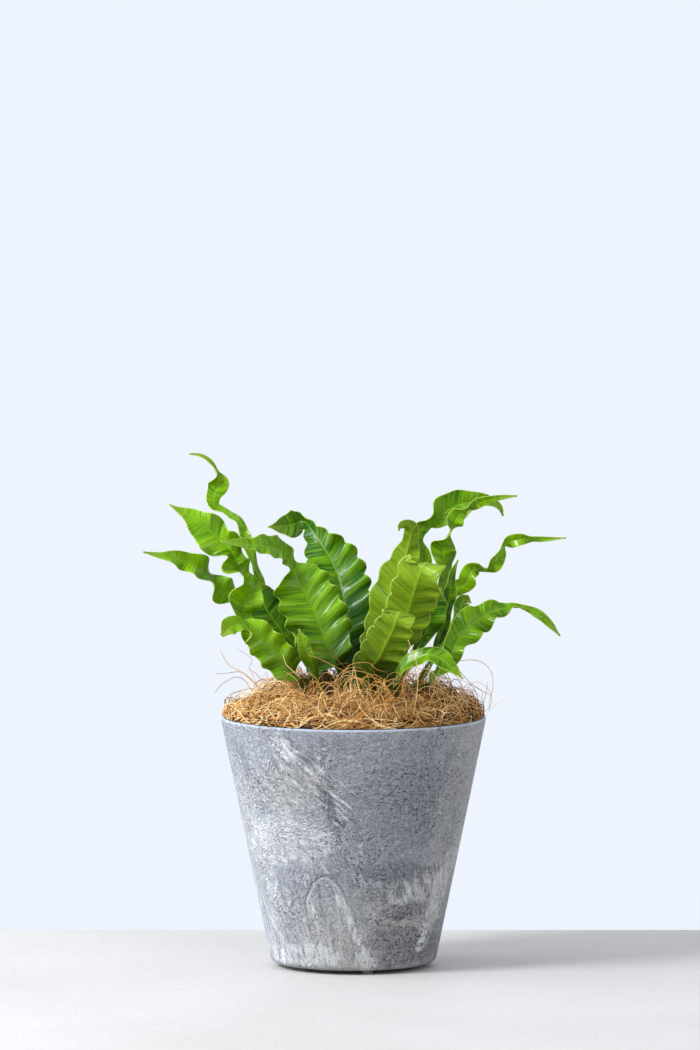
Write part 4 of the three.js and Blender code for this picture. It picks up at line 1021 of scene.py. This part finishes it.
# fibres that spring out of the heap and come back to it; inFront is the share that stands in front,
# where the heap is low and open
springForm = {
    "coir_springs": {
        "count": 1000, "stops": 20, "reach": (34, 82), "inFront": 0.3, "span": (24, 78), "swing": 3.4,
        "height": (0.5, 7), "limit": (79, 84), "radius": (0.22, 0.36), "hue": (0.7, 0.38)},
    "coir_arches": {
        "count": 760, "stops": 20, "reach": (38, 82), "inFront": 0.3, "span": (14, 48), "swing": 4,
        "height": (4, 14), "limit": (79, 84), "radius": (0.17, 0.28), "hue": (0.64, 0.36)},
    "coir_loops": {
        "count": 240, "stops": 26, "reach": (40, 76), "inFront": 0.75, "span": (16, 58), "swing": 6,
        "height": (10, 30), "limit": (79, 84), "radius": (0.14, 0.25), "hue": (0.6, 0.26)},
    "coir_tangle": {
        "count": 300, "stops": 18, "reach": (16, 46), "inFront": 0.3, "span": (12, 34), "swing": 5,
        "height": (6, 19), "limit": (60, 70), "radius": (0.18, 0.32), "hue": (0.42, 0.28)},
    "coir_collar": {
        "count": 260, "stops": 18, "reach": (8, 34), "inFront": 0.0, "span": (14, 40), "swing": 5,
        "height": (12, 30), "limit": (50, 60), "radius": (0.2, 0.34), "hue": (0.34, 0.26)},
    "coir_edge": {
        "count": 340, "stops": 14, "reach": (78, 85), "inFront": 0.4, "span": (8, 30), "swing": 3,
        "height": (0.4, 4), "limit": (81, 83.9), "radius": (0.2, 0.34), "hue": (0.6, 0.28)},
}
# what all of those share: how wide the front is, how many stay low and how low, how far and how deep their
# ends go on into the heap, and how much browner they are on the right, a painted shade
springShape = {"frontSpread": 0.6, "lowShare": 0.5, "lowHeight": 0.5, "tails": 0.12, "clip": 0.1, "sink": 1.5,
               "rightShade": 0.16, "darkest": 0.09}


def heapFrame(x, y):
    # share of the way from the heap's mouth to the rim, and the angle, of points in plan
    span = coirForm["reach"] - coirForm["mouth"]
    share = (np.hypot(x, y) - coirForm["mouth"]) / span
    for _ in range(4):  # the shift depends on the share, which settles in a few rounds
        share = (np.hypot(x - crownX * (1 - share), y) - coirForm["mouth"]) / span
    return share, np.arctan2(y, x - crownX * (1 - share))


def heapHeight(x, y):
    share, angle = heapFrame(x, y)
    lifts, falls, front = coirForm["lift"], coirForm["fall"], coirForm["front"]
    left = ease(-np.cos(angle))
    ahead = ease((-np.sin(angle) - front["start"]) / front["length"])
    lift = mix(mix(lifts["side"], lifts["left"], left), lifts["front"], ahead)
    for pace, lag, height in coirForm["ripples"]:
        lift = lift + height * np.sin(pace * angle + lag)
    fall = mix(falls["side"], falls["left"], left)
    height = coirForm["edgeHeight"] + lift * (1 - np.clip(share, 0, 1)) ** fall
    inside = np.clip(-share / coirForm["hollowReach"], 0, 1)
    return height - coirForm["hollow"] * inside ** coirForm["hollowPower"]


def overLedge(x, y, z, start, ledge):
    # what reaches the rim lies on it
    return np.where(np.hypot(x, y) > start, np.maximum(z, ledge), z)


def spreadOut(dice, low, high, count):
    # draws of a radius that fill a ring evenly
    return np.sqrt(dice.uniform(low ** 2, high ** 2, count))


def tubeRows(paths, radii, seed):
    # three-sided tubes along many paths at once, thinner at their ends
    count, stops = paths.shape[:2]
    along = unit(np.gradient(paths, axis=1))
    lean = np.random.default_rng(seed).normal(size=(count, 1, 3)) + [[[0, 0, coirForm["lean"]]]]
    side = unit(np.cross(along, unit(lean)))
    over = np.cross(along, side)
    ends, blunt = coirForm["ends"], coirForm["blunt"]
    taper = ends + (1 - ends) * np.sin(np.linspace(blunt, math.pi - blunt, stops)) ** 0.5
    thick = radii[:, None, None] * taper[None, :, None]
    rings = [paths + thick * (math.cos(turn) * side + math.sin(turn) * over)
             for turn in (0, math.tau / 3, 2 * math.tau / 3)]
    points = np.stack(rings, 2).reshape(-1, 3)
    ids = np.arange(count * stops * 3).reshape(count, stops, 3)
    turned = np.roll(ids, -1, axis=2)
    walls = np.stack([ids[:, :-1], turned[:, :-1], turned[:, 1:], ids[:, 1:]], -1).reshape(-1, 4)
    caps = np.vstack([ids[:, 0, ::-1], ids[:, -1]])
    return points, walls.tolist() + caps.tolist()


def fibrePiece(name, paths, radii, hues, finish, seed):
    points, faces = tubeRows(paths, radii, seed)
    meshPiece(name, points, faces, finish, values={"hue": np.repeat(hues, paths.shape[1] * 3)})


def holdIn(path, limit):
    # bends a path back inside the rim
    reach = np.hypot(path[..., 0], path[..., 1])
    press = np.minimum(1, limit[:, None] / np.maximum(reach, 1e-6))
    path[..., 0] *= press
    path[..., 1] *= press
    return path


def lyingFibres(dice):
    form = lyingForm
    count, stops = form["count"], form["stops"]
    reach = spreadOut(dice, *form["reach"], count)
    angle = dice.uniform(0, math.tau, count)
    length = dice.uniform(*form["length"], count)
    heading = dice.uniform(0, math.tau, count)
    bend = dice.normal(0, 1, count) / form["bend"]
    sway = dice.normal(0, 1, (count, stops)) * form["sway"]
    step = (length / stops)[:, None]
    turn = heading[:, None] + np.cumsum(bend[:, None] * step + sway, axis=1)
    path = np.zeros((count, stops + 1, 3))
    path[:, 1:, 0] = np.cumsum(np.cos(turn) * step, axis=1)
    path[:, 1:, 1] = np.cumsum(np.sin(turn) * step, axis=1)
    # the middle of each fibre comes to the place that was drawn for it
    middle = np.stack([reach * np.cos(angle), reach * np.sin(angle), 0 * reach], -1)
    path += middle[:, None] - path[:, [stops // 2]]
    path = holdIn(path, dice.uniform(*form["limit"], count))
    share = np.linspace(0, 1, stops + 1)[None]
    layer = dice.uniform(*form["layers"], count)
    low, high = form["spring"]
    spring = np.abs(dice.normal(0, 1, count)) * np.where(dice.random(count) < form["springy"], high, low)
    tilt = dice.normal(0, form["tilt"], count)
    ripple = dice.normal(0, form["ripple"], (count, stops + 1))
    x, y = path[..., 0], path[..., 1]
    z = heapHeight(x, y) + layer[:, None] + ripple
    z += spring[:, None] * np.sin(math.pi * share) + tilt[:, None] * (share - 0.5) * 2
    ledge = coirForm["ledge"] + coirForm["ledgePlay"] * dice.random((count, stops + 1))
    path[..., 2] = overLedge(x, y, z, coirForm["ledgeStart"], ledge)
    return path, layer


def springFibres(dice, form):
    count, stops = form["count"], form["stops"]
    angle = dice.uniform(0, math.tau, count)
    inFront = dice.random(count) < form["inFront"]
    angle = np.where(inFront, dice.normal(-math.pi / 2, springShape["frontSpread"], count), angle)
    reach = dice.uniform(*form["reach"], count)
    centre = np.stack([reach * np.cos(angle), reach * np.sin(angle)], -1)
    heading = dice.uniform(0, math.tau, count)
    span = dice.uniform(*form["span"], count)
    high = dice.uniform(*form["height"], count)
    high = high * np.where(dice.random(count) < springShape["lowShare"], springShape["lowHeight"], 1)
    tails, clip, sink = springShape["tails"], springShape["clip"], springShape["sink"]
    share = np.linspace(-tails, 1 + tails, stops + 1)[None]
    swing = dice.normal(0, form["swing"], count)[:, None] * np.sin(math.tau * share)
    lengthways = (share - 0.5) * span[:, None]
    x = centre[:, :1] + np.cos(heading)[:, None] * lengthways - np.sin(heading)[:, None] * swing
    y = centre[:, 1:] + np.sin(heading)[:, None] * lengthways + np.cos(heading)[:, None] * swing
    path = holdIn(np.stack([x, y, 0 * x], -1), dice.uniform(*form["limit"], count))
    x, y = path[..., 0], path[..., 1]
    rise = (high[:, None] + sink) * np.sin(math.pi * np.clip(share, -clip, 1 + clip)) - sink
    path[..., 2] = overLedge(x, y, heapHeight(x, y) + rise, coirForm["ledgeStart"], coirForm["ledge"])
    # painted shade: browner towards the right
    shadedRight = springShape["rightShade"] * centre[:, 0] / coirForm["reach"]
    return path, np.clip(dice.normal(*form["hue"], count) - shadedRight, springShape["darkest"], 1)


# single fibres that stand out of the heap
# each is the pixels that it is seen at, with its depth in millimetres
looseFibres = [
    [(220, 650, 20), (228, 664, 20), (240, 671, 18), (251, 680, 10), (262, 692, 5)],
    [(215, 693, 0), (220, 686, 2), (227, 681, 4), (236, 677, 6), (243, 679, 5), (250, 688, 2), (255, 696, 0)],
    [(215, 674, 10), (228, 673, 12), (240, 672, 12), (252, 680, 8), (262, 692, 2)],
    [(237, 649, 25), (247, 655, 22), (252, 660, 20), (249, 668, 15), (253, 676, 10), (258, 690, 5)],
    [(248, 668, -5), (256, 674, -8), (263, 681, -10), (270, 690, -14)],
    [(267, 672, -12), (267, 680, -12), (266, 692, -14)],
    [(283, 682, -40), (287, 675, -40), (303, 671, -43), (312, 675, -46), (319, 683, -48), (322, 694, -50)],
    [(240, 722, -30), (246, 706, -32), (252, 694, -30), (262, 684, -28), (274, 677, -26), (280, 674, -25)],
    [(284, 671, -30), (292, 676, -34), (298, 682, -38), (300, 692, -42), (299, 702, -46)],
    [(283, 655, -40), (286, 664, -42), (293, 671, -44), (300, 678, -48)],
    [(310, 651, -62), (322, 651, -64), (334, 657, -66), (345, 668, -68), (354, 680, -68)],
    [(308, 655, -60), (322, 660, -64), (338, 668, -68), (352, 674, -70), (366, 684, -72)],
    [(338, 682, -80), (344, 672, -80), (350, 665, -79), (369, 663, -78), (376, 669, -78), (386, 672, -76)],
    [(336, 700, -70), (340, 686, -72), (346, 679, -74), (354, 676, -75), (360, 681, -76), (365, 690, -77)],
    [(341, 704, -66), (343, 690, -68), (350, 680, -70), (360, 678, -71), (369, 684, -72), (372, 708, -70)],
    [(341, 676, -74), (350, 671, -75), (371, 675, -75), (377, 685, -74), (379, 696, -73), (375, 708, -71)],
    [(352, 694, -72), (360, 684, -73), (368, 675, -74), (380, 677, -74), (387, 690, -73), (388, 704, -72)],
    [(384, 684, -70), (389, 675, -71), (396, 672, -72), (402, 676, -72), (405, 688, -71), (404, 704, -70)],
    [(331, 712, -74), (337, 700, -75), (346, 692, -76), (357, 690, -77), (368, 694, -78), (383, 714, -78)],
    [(345, 716, -78), (353, 706, -78), (364, 701, -78), (376, 703, -78), (386, 712, -78)],
    [(371, 668, -66), (376, 676, -68), (379, 686, -70), (380, 700, -72)],
    [(352, 720, -79), (366, 708, -78), (380, 694, -74), (392, 682, -70), (402, 672, -66)],
    [(360, 724, -80), (376, 711, -78), (390, 697, -74), (401, 684, -70), (411, 670, -64)],
    [(372, 724, -80), (388, 710, -78), (401, 694, -74), (412, 676, -68), (418, 664, -64)],
    [(380, 726, -81), (396, 714, -80), (411, 704, -78), (420, 698, -76)],
    [(394, 724, -81), (406, 716, -80), (418, 708, -78), (430, 703, -75)],
    [(408, 640, -66), (413, 651, -68), (417, 664, -70), (418, 680, -72), (416, 700, -74), (413, 716, -76)],
    [(401, 698, -74), (403, 684, -73), (407, 674, -72), (413, 666, -71), (417, 660, -70)],
    [(412, 664, -66), (405, 676, -68), (403, 690, -70), (406, 704, -72), (410, 716, -74)],
    [(414, 704, -76), (418, 716, -78), (424, 724, -79)],
    [(402, 712, -76), (412, 704, -76), (420, 700, -75), (426, 694, -73)],
    [(440, 680, 20), (452, 690, 12), (460, 702, 4), (463, 716, -4)],
    [(452, 720, -30), (455, 704, -28), (460, 694, -26), (468, 689, -25), (476, 698, -24), (477, 718, -26)],
    [(466, 700, -12), (468, 688, -12), (476, 682, -12), (489, 690, -11), (491, 704, -10), (480, 716, -6)],
    [(452, 662, 10), (475, 660, 8), (486, 665, 6), (492, 674, 4), (493, 686, 2), (490, 700, 0),
     (489, 712, -2)],
    [(445, 648, 15), (452, 660, 14), (462, 674, 12), (474, 686, 10), (484, 692, 8), (492, 696, 6)],
    [(476, 716, 10), (482, 706, 10), (486, 694, 10), (488, 682, 12)],
    [(424, 684, 30), (431, 680, 30), (440, 681, 28), (448, 688, 24), (455, 699, 18), (460, 712, 10)],
    [(446, 720, -45), (455, 712, -44), (464, 702, -42), (471, 694, -40), (474, 690, -40)],
    [(486, 716, -5), (492, 708, -3), (500, 702, 0), (506, 698, 3)],
    [(262, 700, -68), (266, 714, -74), (268, 724, -78), (267, 729, -82), (262, 735, -86), (258, 741, -87)],
    [(299, 690, -60), (288, 704, -68), (276, 718, -76), (266, 728, -80)],
    [(262, 700, 50), (268, 684, 55), (277, 676, 58), (288, 676, 60), (298, 684, 60), (303, 698, 58)],
    [(430, 690, 60), (438, 678, 62), (448, 672, 62), (458, 678, 58), (464, 692, 52), (466, 706, 44)],
]
looseForm = {"stops": 24, "radius": (0.16, 0.28), "hue": (0.6, 0.2)}

# The hue of a fibre is 0 for dark, then brown and golden, to 1 for pale. Edges are where one colour
# begins to give way to the next, in hues.
coirLook = {
    "golden": tone(202, 144, 68), "pale": tone(252, 222, 162), "brown": tone(96, 52, 16),
    "dark": tone(30, 16, 5), "goldenEdges": (0.1, 0.55), "paleEdges": (0.62, 0.98),
    "darkEdges": (0.12, 0.0), "darkShare": 0.8, "spread": 0.5,
    "patchCloud": (60, 3, 0.5), "alongCloud": (700, 3, 0.6),
    "rough": 0.55, "roughAlong": 0.4, "specular": 0.3, "bump": 0.0001,
}


def coirFinish():
    look = newFinish("coconutFibre")
    hue = look.painted("hue")
    place = look.place()
    patchy = look.cloud(place, *coirLook["patchCloud"])
    along = look.cloud(place, *coirLook["alongCloud"])
    golden = look.slope(hue + (patchy - 0.5) * coirLook["spread"], *coirLook["goldenEdges"])
    pale = look.slope(hue + (along - 0.5) * coirLook["spread"], *coirLook["paleEdges"])
    dark = look.slope(hue, *coirLook["darkEdges"]) * coirLook["darkShare"]
    colour = look.blend(golden, coirLook["brown"], coirLook["golden"])
    colour = look.blend(pale, colour, coirLook["pale"])
    colour = look.blend(dark, colour, coirLook["dark"])
    bump = look.bumped(along, coirLook["bump"])
    rough = coirLook["rough"] + (along - 0.5) * coirLook["roughAlong"]
    return look.show(look.skin(colour, rough, bump, specular=coirLook["specular"]))


def coirBed(finish):
    # a closed ring with the heap's own form: up its inside, over the heap, and down inside the pot
    form, bed = coirForm, bedForm
    angle = np.linspace(0, math.tau, bed["sides"], endpoint=False)
    dice = np.random.default_rng(bed["seed"])

    def ring(radius, height, middle=0):
        return np.stack([middle + radius * np.cos(angle), radius * np.sin(angle), height + 0 * angle], -1)

    rows = [ring(form["mouthLow"], form["bottom"], crownX)]
    for share in np.linspace(bed["inside"], 1, bed["bands"]):
        x, y, _ = ring(mix(form["mouth"], form["reach"], share), 0, crownX * (1 - share)).T
        z = heapHeight(x * bed["inset"], y * bed["inset"]) - bed["sink"]
        z = z + dice.normal(0, bed["uneven"], bed["sides"])
        z = overLedge(x, y, z, bed["ledgeStart"], bed["ledge"])
        press = np.minimum(1, bed["rim"] / np.hypot(x, y))
        rows.append(np.stack([x * press, y * press, z], -1))
    rows.append(ring(bed["rim"], bed["skirt"]))
    rows.append(ring(innerRadius(bed["neck"]) - bed["gap"], bed["skirt"]))
    rows.append(ring(innerRadius(form["bottom"]) - bed["gap"], form["bottom"]))
    grid = np.arange(len(rows) * bed["sides"]).reshape(len(rows), -1)
    below, beside = np.roll(grid, -1, axis=0), np.roll(grid, -1, axis=1)
    faces = np.stack([grid, below, np.roll(below, -1, axis=1), beside], -1).reshape(-1, 4)
    meshPiece("coir_bed", np.concatenate(rows), faces.tolist(), finish, ["coir_mulch"])


def addLyingFibres(dice, finish):
    paths, layer = lyingFibres(dice)
    angle = np.arctan2(paths[:, lyingForm["angleStop"], 1], paths[:, lyingForm["angleStop"], 0])
    # painted light and shade: fibres of the left are paler, those of the right, the back and the shaded front
    # browner, and so are the deeper ones
    sun = sunForm
    sunny = sun["middle"] - sun["left"] * np.cos(angle) - sun["front"] * np.sin(angle)
    sunny = sunny - sun["shaded"] * ease((-np.sin(angle) - sun["start"]) / sun["length"])
    hues = sunny + lyingForm["hue"] + lyingForm["layerHue"] * layer
    hues = np.clip(hues + dice.normal(0, lyingForm["hueSpread"], len(paths)), 0, 1)
    radii = dice.uniform(*lyingForm["radius"], len(paths))
    quarters = {}
    rest = np.ones(len(paths), bool)
    for name, (low, high, seed) in coirQuarters.items():
        quarters[name] = ((angle >= low) & (angle < high), seed)
        rest &= ~quarters[name][0]
    quarters["left"] = (rest, fibreSeeds["left"])
    for name, (here, seed) in quarters.items():
        fibrePiece("coir_fibres_" + name, paths[here], radii[here], hues[here], finish, seed)
    return len(paths)


def addSpringFibres(dice, finish):
    for number, (name, form) in enumerate(springForm.items()):
        paths, hues = springFibres(dice, form)
        radii = dice.uniform(*form["radius"], len(paths))
        fibrePiece(name, paths, radii, hues, finish, fibreSeeds["springs"] + number)
    return sum(form["count"] for form in springForm.values())


def addLooseFibres(dice, finish):
    count = len(looseFibres)
    lines = [smoothLine([seenAt(*stop) for stop in path], looseForm["stops"])[0] for path in looseFibres]
    radii = dice.uniform(*looseForm["radius"], count)
    hues = np.clip(dice.normal(*looseForm["hue"], count), 0, 1)
    fibrePiece("coir_loose", np.stack(lines), radii, hues, finish, fibreSeeds["loose"])
    return count


# the bed's dark felt finish is painted shade between the fibres
coirBed(crumblyFinish("feltInShade"))
coir = coirFinish()
dice = np.random.default_rng(coirForm["seed"])
built = [add(dice, coir) for add in (addLyingFibres, addSpringFibres, addLooseFibres)]
print("fibres built:", sum(built))


# table, light and camera

setForm = {
    # metres: where the table ends behind and in front, half its width, its thickness and soft edge
    "tableBack": 0.18, "tableFront": -1.6, "tableSide": 1.7, "tableDepth": 0.04, "tableEdge": 0.006,
    "lightsAim": (0, 0, 0.18), "sensor": 36, "near": 0.5, "far": 60,
}
# where each lamp stands and how wide it is, in metres, and its power in watts
lamps = {
    "windowLeft": {"place": (-1.7, -1.0, 1.6), "size": 0.9, "watts": 71, "colour": (0.95, 0.98, 1.0)},
    "fillRight": {"place": (1.8, -1.6, 1.2), "size": 1.8, "watts": 19, "colour": (1.0, 0.99, 0.97)},
    "windowBack": {"place": (-1.5, 0.35, 0.32), "size": 0.8, "watts": 16, "colour": (0.96, 0.98, 1.0)},
}
# the room is brightest towards bright; edges are how far a direction looks that way
skyLook = {"colour": tone(238, 244, 254), "bright": (-0.45, 0.75, 0.5), "edges": (-0.5, 0.6),
           "strength": (0.42, 1.0)}
tableLook = {
    "dull": tone(188, 184, 182), "light": tone(198, 195, 193), "speck": tone(178, 174, 172),
    "broadCloud": (3, 5, 0.6), "broadEdges": (0.3, 0.7), "grainCloud": (160, 4, 0.7),
    "grainEdges": (0.45, 0.75), "grainShare": 0.3, "rough": 0.6, "roughGrain": 0.2, "bump": 0.0004,
}


def tableFinish():
    look = newFinish("paleTable")
    place = look.place()
    broad = look.cloud(place, *tableLook["broadCloud"])
    grain = look.cloud(place, *tableLook["grainCloud"])
    colour = look.blend(look.slope(broad, *tableLook["broadEdges"]), tableLook["dull"], tableLook["light"])
    specks = look.slope(grain, *tableLook["grainEdges"]) * tableLook["grainShare"]
    colour = look.blend(specks, colour, tableLook["speck"])
    rough = tableLook["rough"] + (grain - 0.5) * tableLook["roughGrain"]
    return look.show(look.skin(colour, rough, look.bumped(grain, tableLook["bump"])))


def addTable():
    half, back, front, deep = (setForm[key] for key in ("tableSide", "tableBack", "tableFront", "tableDepth"))
    outline = ((-half, front), (half, front), (half, back), (-half, back))
    corners = [(x, y, z) for z in (0, -deep) for x, y in outline]
    sides = [(k, k + 4, (k + 1) % 4 + 4, (k + 1) % 4) for k in range(4)]
    mesh = bpy.data.meshes.new("table")
    mesh.from_pydata(corners, [], [(0, 1, 2, 3), (7, 6, 5, 4)] + sides)
    mesh.materials.append(tableFinish())
    table = bpy.data.objects.new("table", mesh)
    bpy.context.scene.collection.objects.link(table)
    bevel = table.modifiers.new("softEdge", "BEVEL")
    bevel.width = setForm["tableEdge"]
    bevel.segments = 3


def aimed(thing, place, aim):
    # stands something at a place, in metres, and points it at another
    thing.location = place
    thing.rotation_mode = "QUATERNION"
    thing.rotation_quaternion = (aim - place).to_track_quat("-Z", "Y")
    bpy.context.scene.collection.objects.link(thing)


def addLamp(name, form):
    light = bpy.data.lights.new(name, "AREA")
    light.shape = "DISK"
    light.size = form["size"]
    light.energy = form["watts"]
    light.color = form["colour"]
    aimed(bpy.data.objects.new(name, light), Vector(form["place"]), Vector(setForm["lightsAim"]))


def addSky():
    world = bpy.data.worlds.new("paleRoom")
    bpy.context.scene.world = world
    sky = Finish(world)
    bright = Vector(skyLook["bright"]).normalized()
    toward = sky.vectors("DOT_PRODUCT", sky.node("TexCoord"), bright, out=1)
    strength = sky.slope(toward, *skyLook["edges"], *skyLook["strength"])
    room = sky.node("Background", None, {"Color": skyLook["colour"], "Strength": strength})
    sky.node("OutputWorld", None, {0: room}, out=None)


def addCamera():
    lens = bpy.data.cameras.new("camera")
    lens.lens = setForm["sensor"] * focal / max(photoView["pixels"])
    lens.sensor_width = setForm["sensor"]
    lens.clip_start = setForm["near"]
    lens.clip_end = setForm["far"]
    camera = bpy.data.objects.new("camera", lens)
    aimed(camera, Vector(eye) * mm, Vector(photoView["aim"]) * mm)
    bpy.context.scene.camera = camera


addTable()
addSky()
for name, form in lamps.items():
    addLamp(name, form)
addCamera()
bpy.context.scene.view_settings.view_transform = "Standard"
print("table, light and camera set")
